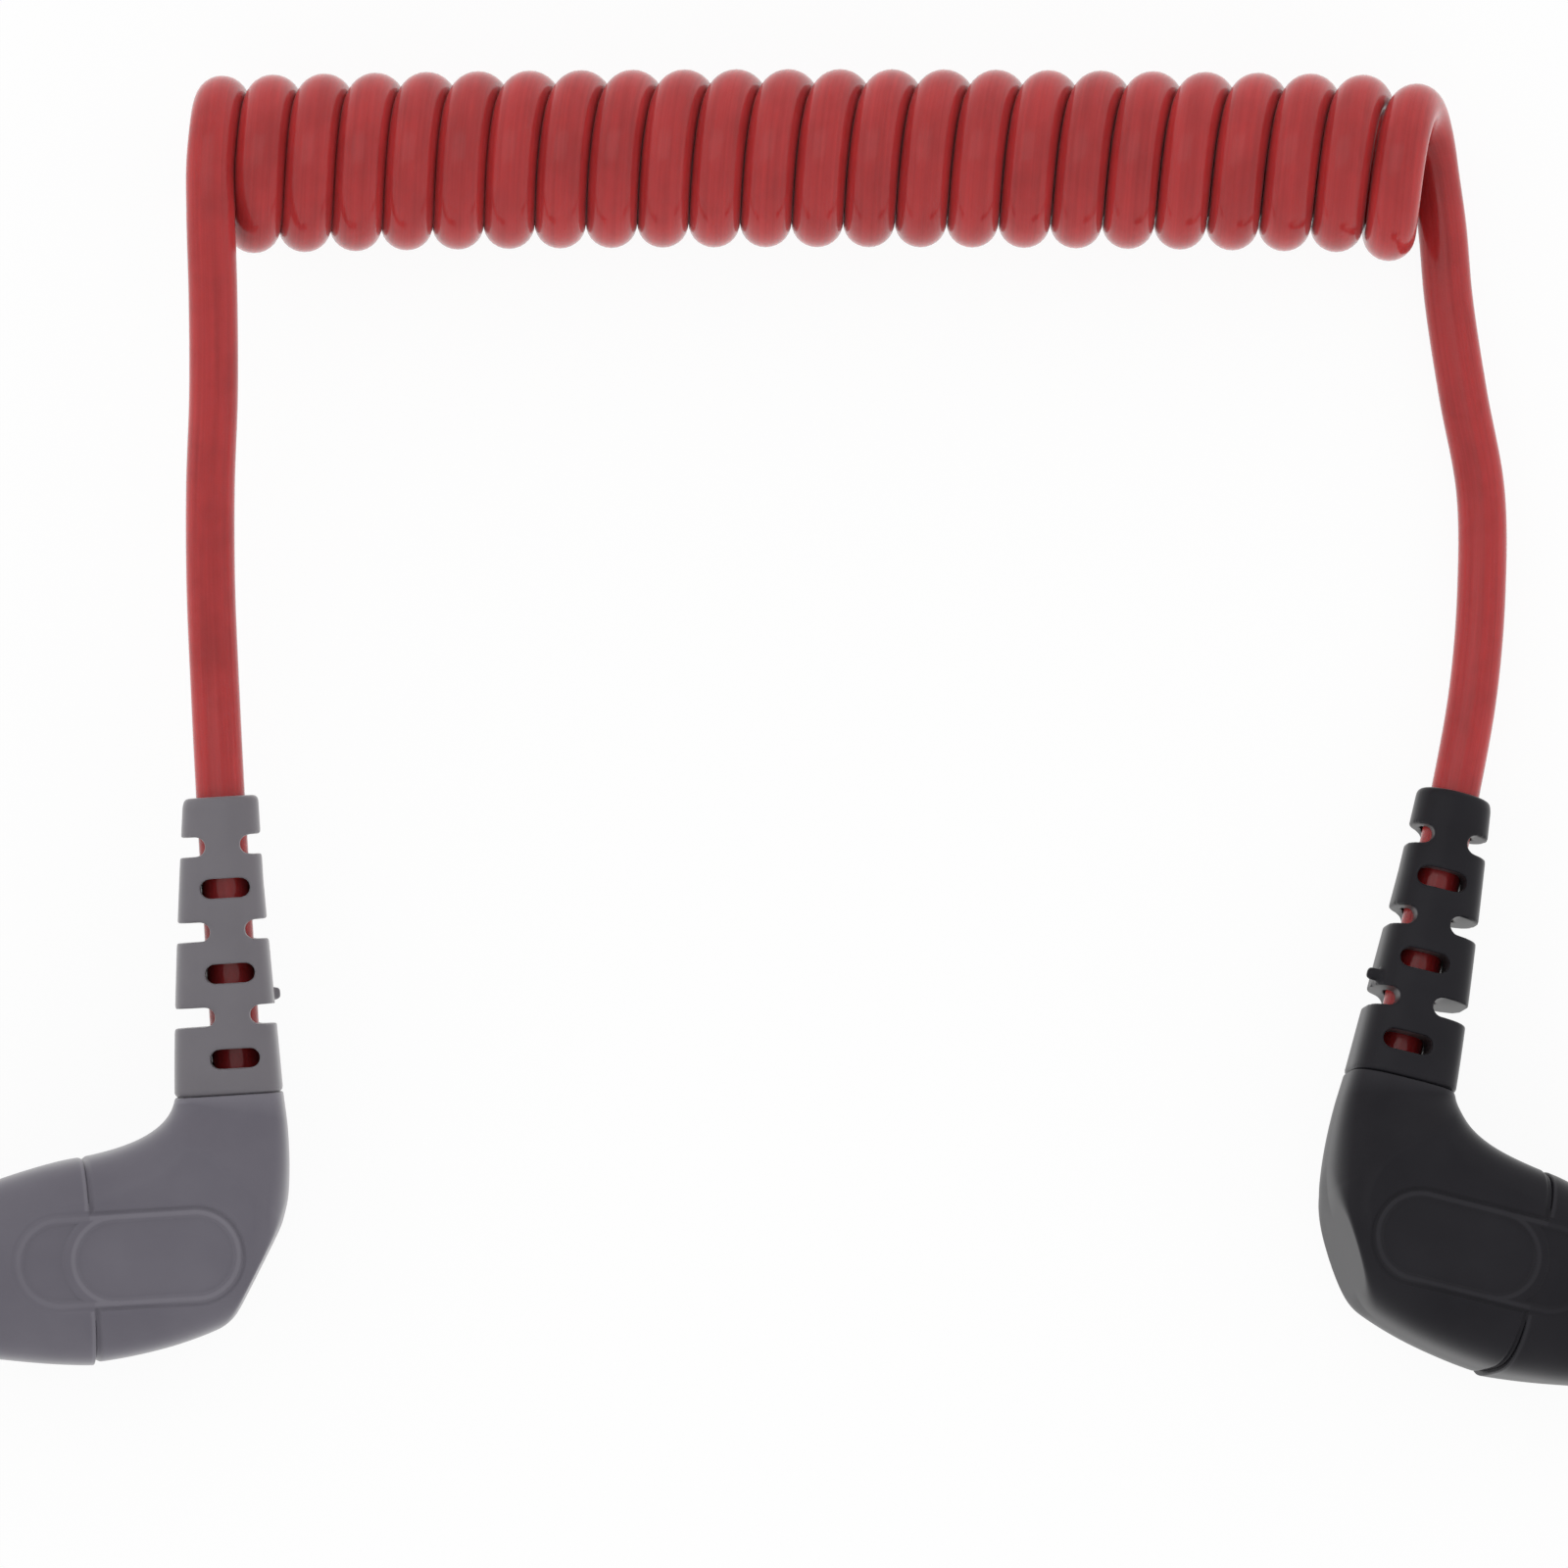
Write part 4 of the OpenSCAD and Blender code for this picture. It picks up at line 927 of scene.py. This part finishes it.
def moulded(name, colour, pale, grain_mm, skin_ior, velvet):
    """A moulded plastic: one colour that clouds a little every 4 mm, a satin skin that pales where one
    looks along it, and painted highlights, paler bands on rims and edges, read from an attribute. The
    mould's spark-eroded wall leaves a matt grain; it is too fine to show, so it is drawn grain_mm wide."""
    clouds_per_mm = 0.26
    material, tree = new_material(name)
    place = add_node(tree, "ShaderNodeTexCoord").outputs["Object"]
    grain = add_node(tree, "ShaderNodeTexNoise", {
        "Vector": place, "Scale": 1 / MM / grain_mm, "Detail": 2, "Roughness": 0.6}).outputs[0]
    clouds = add_node(tree, "ShaderNodeTexNoise", {
        "Vector": place, "Scale": clouds_per_mm / MM, "Detail": 3, "Roughness": 0.55}).outputs[0]
    cloudy = add_node(tree, "ShaderNodeMapRange", {
        "Value": clouds, "From Min": 0.3, "From Max": 0.7, "To Min": 0.0, "To Max": 0.14})
    # Painted highlight: where the attribute says, the colour is mixed towards the pale one as light on rims
    # and edges; the attribute also carries the tongue's paler tone
    rim = add_node(tree, "ShaderNodeAttribute", {"attribute_name": "rim"})
    share = add_node(tree, "ShaderNodeMath", {
        "operation": "MULTIPLY_ADD", 0: rim.outputs["Fac"], 1: 0.35, 2: cloudy.outputs[0]})
    tint = add_node(tree, "ShaderNodeMix", {
        "data_type": "RGBA", 0: share.outputs[0], 6: (*colour, 1), 7: (*pale, 1)})
    rough = add_node(tree, "ShaderNodeMapRange", {"Value": grain, "To Min": 0.4, "To Max": 0.6})
    bump = add_node(tree, "ShaderNodeBump", {"Height": grain, "Strength": 0.3, "Distance": 0.00002})
    shader = add_node(tree, "ShaderNodeBsdfPrincipled", {
        "Base Color": tint.outputs[2], "Roughness": rough.outputs[0], "Normal": bump.outputs[0],
        "Specular IOR Level": 0.0, "Coat Weight": 1.0, "Coat IOR": skin_ior, "Coat Roughness": 0.3,
        "Sheen Weight": velvet, "Sheen Roughness": 0.3})
    add_node(tree, "ShaderNodeOutputMaterial", {0: shader.outputs[0]})
    return material


def turned_gold(settings):
    """Brass turned on a lathe and gold plated: bright and warm, with fine lines round it. They are too
    fine to show, so they are drawn 0.1 mm apart."""
    lines_per_mm = 9
    material, tree = new_material("gold plated brass, turned")
    at = add_node(tree, "ShaderNodeAttribute", {"attribute_name": "along_jack"})
    lines = add_node(tree, "ShaderNodeTexNoise", {
        "noise_dimensions": "1D", "W": at.outputs["Fac"], "Scale": lines_per_mm, "Detail": 3}).outputs[0]
    rough = add_node(tree, "ShaderNodeMapRange", {"Value": lines, "To Min": 0.12, "To Max": 0.34})
    bump = add_node(tree, "ShaderNodeBump", {"Height": lines, "Strength": 0.12, "Distance": 0.00001})
    shader = add_node(tree, "ShaderNodeBsdfPrincipled", {
        "Base Color": (*settings.gold, 1), "Metallic": 1.0,
        "Roughness": rough.outputs[0], "Normal": bump.outputs[0]})
    add_node(tree, "ShaderNodeOutputMaterial", {0: shader.outputs[0]})
    return material


def plain_plastic(name, colour, shade, marks_per_mm, roughness, clear=0.0):
    """A smooth plastic with faint flow marks from its mould or die, and clear as far as light goes into
    it."""
    material, tree = new_material(name)
    place = add_node(tree, "ShaderNodeTexCoord").outputs["Object"]
    marks = add_node(tree, "ShaderNodeTexNoise", {
        "Vector": place, "Scale": marks_per_mm / MM, "Detail": 3}).outputs[0]
    tint = add_node(tree, "ShaderNodeMix", {
        "data_type": "RGBA", 0: marks, 6: (*linear(shade), 1), 7: (*linear(colour), 1)})
    rough = add_node(tree, "ShaderNodeMapRange", {
        "Value": marks, "To Min": roughness - 0.06, "To Max": roughness + 0.06})
    bump = add_node(tree, "ShaderNodeBump", {"Height": marks, "Strength": 0.15, "Distance": 0.00001})
    shader = add_node(tree, "ShaderNodeBsdfPrincipled", {
        "Base Color": tint.outputs[2], "Roughness": rough.outputs[0], "Normal": bump.outputs[0],
        "IOR": 1.49, "Subsurface Weight": clear, "Subsurface Scale": 0.0005})
    add_node(tree, "ShaderNodeOutputMaterial", {0: shader.outputs[0]})
    return material


def housing_materials(settings):
    """Moulded ABS of the elbows, collars and panels, the same finish in both colours."""
    made = {}
    for plug, pale, skin_ior, velvet in (("grey", "#85828A", 1.25, 0.3), ("black", "#3A393D", 1.19, 0.0)):
        name = f"{plug} ABS, moulded"
        made[plug] = bpy.data.materials.get(name) or moulded(
            name, getattr(settings, f"housing_{plug}"), linear(pale), 0.15, skin_ior, velvet)
    return made


def dress_nodes(settings):
    """The wires, cores and clamps inside the plugs keep their CAD shapes and get their finishes."""
    wires = {}
    for part, colour_name, colour, shade in (
            ("wire_tip", "red", "#B5382F", "#A93028"), ("wire_ring", "green", "#3E7C4C", "#357243"),
            ("wire_ring_rear", "white", "#DAD6CA", "#CCC8BB"),
            ("wire_sleeve", "brown", "#8E6B4A", "#80603F")):
        wires[part] = plain_plastic(f"{colour_name} PVC insulation, extruded", colour, shade, 2.5, 0.38)
    wires["wire_ring_front"] = wires["wire_ring"]
    finishes = {
        **wires,
        "inner_core": plain_plastic(
            "natural polypropylene, moulded", "#DEDBD0", "#CFCBBE", 0.9, 0.42, 0.15),
        "cable_clamp": turned_gold(settings),
    }
    for name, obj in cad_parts.items():
        finish = finishes.get(name.partition("_")[2])
        if finish:
            for slot in obj.material_slots:
                slot.material = finish


# ---- Stage, in metres

LAMP_SIZE, LAMP_AT, LAMP_TILT = (0.9, 0.6), (-0.25, 0.3, 0.8), (-18, -16, 0)
FLOOR_REACH, FLOOR_Z, FLOOR_SHADE = 1.5, -0.00001, 0.8
VIEW_CENTRE, SENSOR_WIDTH, NEAR_CLIP, FAR_CLIP = (-0.00036, 0.01602, 0.0045), 36, 0.05, 10


def to_the_eye(tree):
    """1 on camera, mirror and glass rays, and 0 on the others, which carry light."""
    ray = add_node(tree, "ShaderNodeLightPath").outputs
    eye = add_node(tree, "ShaderNodeMath", {
        "operation": "MAXIMUM", 0: ray["Is Camera Ray"], 1: ray["Is Glossy Ray"]})
    eye = add_node(tree, "ShaderNodeMath", {
        "operation": "MAXIMUM", 0: eye.outputs[0], 1: ray["Is Transmission Ray"]})
    return eye.outputs[0]


def white_room(settings):
    """A world whose walls give more light than its ceiling, and which is white to the eye."""
    world = bpy.data.worlds.new("white room")
    world.use_nodes = True
    tree = world.node_tree
    tree.nodes.clear()
    toward = add_node(tree, "ShaderNodeTexCoord").outputs["Generated"]
    up = add_node(tree, "ShaderNodeSeparateXYZ", {0: toward}).outputs["Z"]
    light = add_node(tree, "ShaderNodeMapRange", {
        "Value": up, "To Min": settings.wall_light, "To Max": settings.ceiling_light})
    level = add_node(tree, "ShaderNodeMapRange", {
        "Value": to_the_eye(tree), "To Min": light.outputs[0], "To Max": 1.0})
    sky = add_node(tree, "ShaderNodeBackground", {"Color": (1, 1, 1, 1), "Strength": level.outputs[0]})
    add_node(tree, "ShaderNodeOutputWorld", {0: sky.outputs[0]})
    return world


def white_floor_material(settings):
    """Matt white paint, which also glows towards the eye alone, so that its shadows stay faint."""
    material, tree = new_material("matt white paint")
    eye = to_the_eye(tree)
    shade = add_node(tree, "ShaderNodeMapRange", {"Value": eye, "To Min": FLOOR_SHADE, "To Max": 1.0})
    paint = add_node(tree, "ShaderNodeBsdfDiffuse", {"Color": shade.outputs[0]})
    glow = add_node(tree, "ShaderNodeEmission", {"Color": (1, 1, 1, 1), "Strength": 1.0})
    share = add_node(tree, "ShaderNodeMath", {"operation": "MULTIPLY", 0: eye, 1: settings.floor_glow})
    both = add_node(tree, "ShaderNodeMixShader", {
        0: share.outputs[0], 1: paint.outputs[0], 2: glow.outputs[0]})
    add_node(tree, "ShaderNodeOutputMaterial", {0: both.outputs[0]})
    return material


def build_stage(settings):
    """A white room, one soft lamp overhead, a white floor and a camera that looks straight down."""
    scene = bpy.context.scene
    scene.view_settings.view_transform = "Standard"
    scene.world = white_room(settings)

    lamp = bpy.data.lights.new("overhead softbox", "AREA")
    lamp.shape = "RECTANGLE"
    lamp.size, lamp.size_y = LAMP_SIZE
    lamp.energy = settings.lamp_power
    lamp_obj = bpy.data.objects.new("overhead softbox", lamp)
    lamp_obj.location, lamp_obj.rotation_euler = LAMP_AT, np.radians(LAMP_TILT)
    scene.collection.objects.link(lamp_obj)

    corners = np.array([[-1, -1, 0], [1, -1, 0], [1, 1, 0], [-1, 1, 0]]) * FLOOR_REACH + [0, 0, FLOOR_Z]
    paint = white_floor_material(settings)
    floor = add_mesh("floor", corners / MM, np.array([[0, 1, 2, 3]]), paint, smooth=False)

    camera = bpy.data.cameras.new("camera")
    camera.sensor_width = SENSOR_WIDTH
    camera.lens = SENSOR_WIDTH * settings.camera_distance / settings.view_width
    camera.clip_start, camera.clip_end = NEAR_CLIP, FAR_CLIP
    camera_obj = bpy.data.objects.new("camera", camera)
    camera_obj.location = np.array(VIEW_CENTRE) + [0, 0, settings.camera_distance]
    scene.collection.objects.link(camera_obj)
    scene.camera = camera_obj


# ---- Settings

COLOUR = {"size": 3, "min": 0, "max": 1, "subtype": "COLOR"}


class LeadSettings(PropertyGroup):
    cord_d: FloatProperty(
        name="Cord diameter", description="Diameter of the cord's jacket",
        default=CORD_D * MM, min=0.002, max=0.003, precision=4, unit="LENGTH")
    jacket_colour: FloatVectorProperty(
        name="Jacket", description="Colour of the jacket", default=linear("#B43637"), **COLOUR)
    jacket_dark: FloatVectorProperty(
        name="Jacket streaks", description="Darker colour of the jacket's streaks",
        default=linear("#A43031"), **COLOUR)


class PlugSettings(PropertyGroup):
    housing_grey: FloatVectorProperty(
        name="Grey housing", description="Colour of the grey plug's elbow and collar",
        default=linear("#64616A"), **COLOUR)
    boot_grey: FloatVectorProperty(
        name="Grey boot", description="Colour of the grey plug's slotted boot",
        default=linear("#6D6A6F"), **COLOUR)
    housing_black: FloatVectorProperty(
        name="Black housing", description="Colour of the black plug's elbow and collar",
        default=linear("#1E1D21"), **COLOUR)
    boot_black: FloatVectorProperty(
        name="Black boot", description="Colour of the black plug's slotted boot",
        default=linear("#1F1E22"), **COLOUR)
    gold: FloatVectorProperty(
        name="Gold", description="Colour of the gold plating", default=linear("#E2BE72"), **COLOUR)


class StageSettings(PropertyGroup):
    wall_light: FloatProperty(
        name="Wall light", description="Strength of the soft light from the walls",
        default=1.85, min=0, max=3, subtype="FACTOR")
    ceiling_light: FloatProperty(
        name="Ceiling light", description="Strength of the soft light from straight above",
        default=0.32, min=0, max=2, subtype="FACTOR")
    lamp_power: FloatProperty(
        name="Softbox power", description="Power of the overhead softbox",
        default=0.8, min=0, max=50, unit="POWER")
    floor_glow: FloatProperty(
        name="Floor evenness", description="How far the floor hides its shadows from the camera",
        default=0.93, min=0, max=1, subtype="FACTOR")
    camera_distance: FloatProperty(
        name="Camera distance", description="Height of the camera above the lead",
        default=0.9, min=0.2, max=3, unit="LENGTH")
    view_width: FloatProperty(
        name="View width", description="Width of what the camera sees",
        default=0.08, min=0.02, max=0.5, precision=3, unit="LENGTH")


# ---- Operators


class LEAD_OT_stage(Operator):
    """Builds the floor, the light and the camera"""

    bl_idname = "patch_lead.stage"
    bl_label = "Stage"

    def execute(self, context):
        build_stage(context.scene.lead_stage)
        return {"FINISHED"}


class LEAD_OT_cord(Operator):
    """Builds the cord with its coil and its two leads"""

    bl_idname = "patch_lead.cord"
    bl_label = "Cord"

    def execute(self, context):
        add_cord(context.scene.lead_cord)
        return {"FINISHED"}


class LEAD_OT_elbows(Operator):
    """Builds the elbow of each plug"""

    bl_idname = "patch_lead.elbows"
    bl_label = "Elbows"

    def execute(self, context):
        for plug, material in housing_materials(context.scene.lead_plugs).items():
            elbow = add_housing(plug, "elbow", elbow_shape(), material, f"{plug}_elbow_cover")
            keep_sharp(elbow, HOUSING_SHARP)
        return {"FINISHED"}


class LEAD_OT_collars(Operator):
    """Builds the front collar of each plug"""

    bl_idname = "patch_lead.collars"
    bl_label = "Front collars"

    def execute(self, context):
        for plug, material in housing_materials(context.scene.lead_plugs).items():
            collar = add_housing(plug, "collar", collar_shape(), material, f"{plug}_front_collar")
            keep_sharp(collar, HOUSING_SHARP)
        return {"FINISHED"}


class LEAD_OT_panels(Operator):
    """Builds the blank oval panels on the plugs' flat faces"""

    bl_idname = "patch_lead.panels"
    bl_label = "Blank panels"

    def execute(self, context):
        for plug, material in housing_materials(context.scene.lead_plugs).items():
            add_panels(plug, material)
        return {"FINISHED"}


class LEAD_OT_boots(Operator):
    """Builds the slotted boot of each plug"""

    bl_idname = "patch_lead.boots"
    bl_label = "Slotted boots"

    def execute(self, context):
        settings = context.scene.lead_plugs
        for plug, colour, pale, skin_ior, velvet in (("grey", settings.boot_grey, "#8D898E", 1.25, 0.3),
                                                     ("black", settings.boot_black, "#3E3D41", 1.2, 0.1)):
            name = f"{plug} flexible PVC, moulded"
            add_boot(plug, moulded(name, colour, linear(pale), 0.12, skin_ior, velvet))
        return {"FINISHED"}


class LEAD_OT_jacks(Operator):
    """Builds the contacts and the insulating bands of each jack"""

    bl_idname = "patch_lead.jacks"
    bl_label = "Jacks"

    def execute(self, context):
        metal = turned_gold(context.scene.lead_plugs)
        plastic = plain_plastic("black acetal, moulded", "#2A2A2C", "#232325", 1.5, 0.35)
        for plug in PLUGS:
            add_jack(plug, metal, plastic)
        return {"FINISHED"}


class LEAD_OT_insides(Operator):
    """Gives the wires, cores and clamps inside the plugs their finishes"""

    bl_idname = "patch_lead.insides"
    bl_label = "Wires, cores and clamps"

    def execute(self, context):
        dress_nodes(context.scene.lead_plugs)
        return {"FINISHED"}


class LEAD_PT_panel(Panel):
    """Lists the lead's pieces and their settings"""

    bl_idname = "LEAD_PT_panel"
    bl_label = "Patch Lead"
    bl_space_type = "VIEW_3D"
    bl_region_type = "UI"
    bl_category = "Patch Lead"

    def draw(self, context):
        for title, group in SETTINGS.items():
            box = self.layout.box()
            for name in group.__annotations__:
                box.prop(getattr(context.scene, title), name)
        for operator in OPERATORS:
            self.layout.operator(operator.bl_idname)


SETTINGS = {"lead_stage": StageSettings, "lead_cord": LeadSettings, "lead_plugs": PlugSettings}
OPERATORS = [LEAD_OT_stage, LEAD_OT_cord, LEAD_OT_elbows, LEAD_OT_collars, LEAD_OT_panels, LEAD_OT_boots,
             LEAD_OT_jacks, LEAD_OT_insides]


def register():
    for kind in [*SETTINGS.values(), *OPERATORS, LEAD_PT_panel]:
        bpy.utils.register_class(kind)
    for title, group in SETTINGS.items():
        setattr(bpy.types.Scene, title, PointerProperty(type=group))


def unregister():
    for title in SETTINGS:
        delattr(bpy.types.Scene, title)
    for kind in reversed([*SETTINGS.values(), *OPERATORS, LEAD_PT_panel]):
        bpy.utils.unregister_class(kind)


def main():
    register()
    bpy.ops.patch_lead.stage()
    bpy.ops.patch_lead.cord()
    bpy.ops.patch_lead.elbows()
    bpy.ops.patch_lead.collars()
    bpy.ops.patch_lead.panels()
    bpy.ops.patch_lead.boots()
    bpy.ops.patch_lead.jacks()
    bpy.ops.patch_lead.insides()


if __name__ == "__main__":
    main()
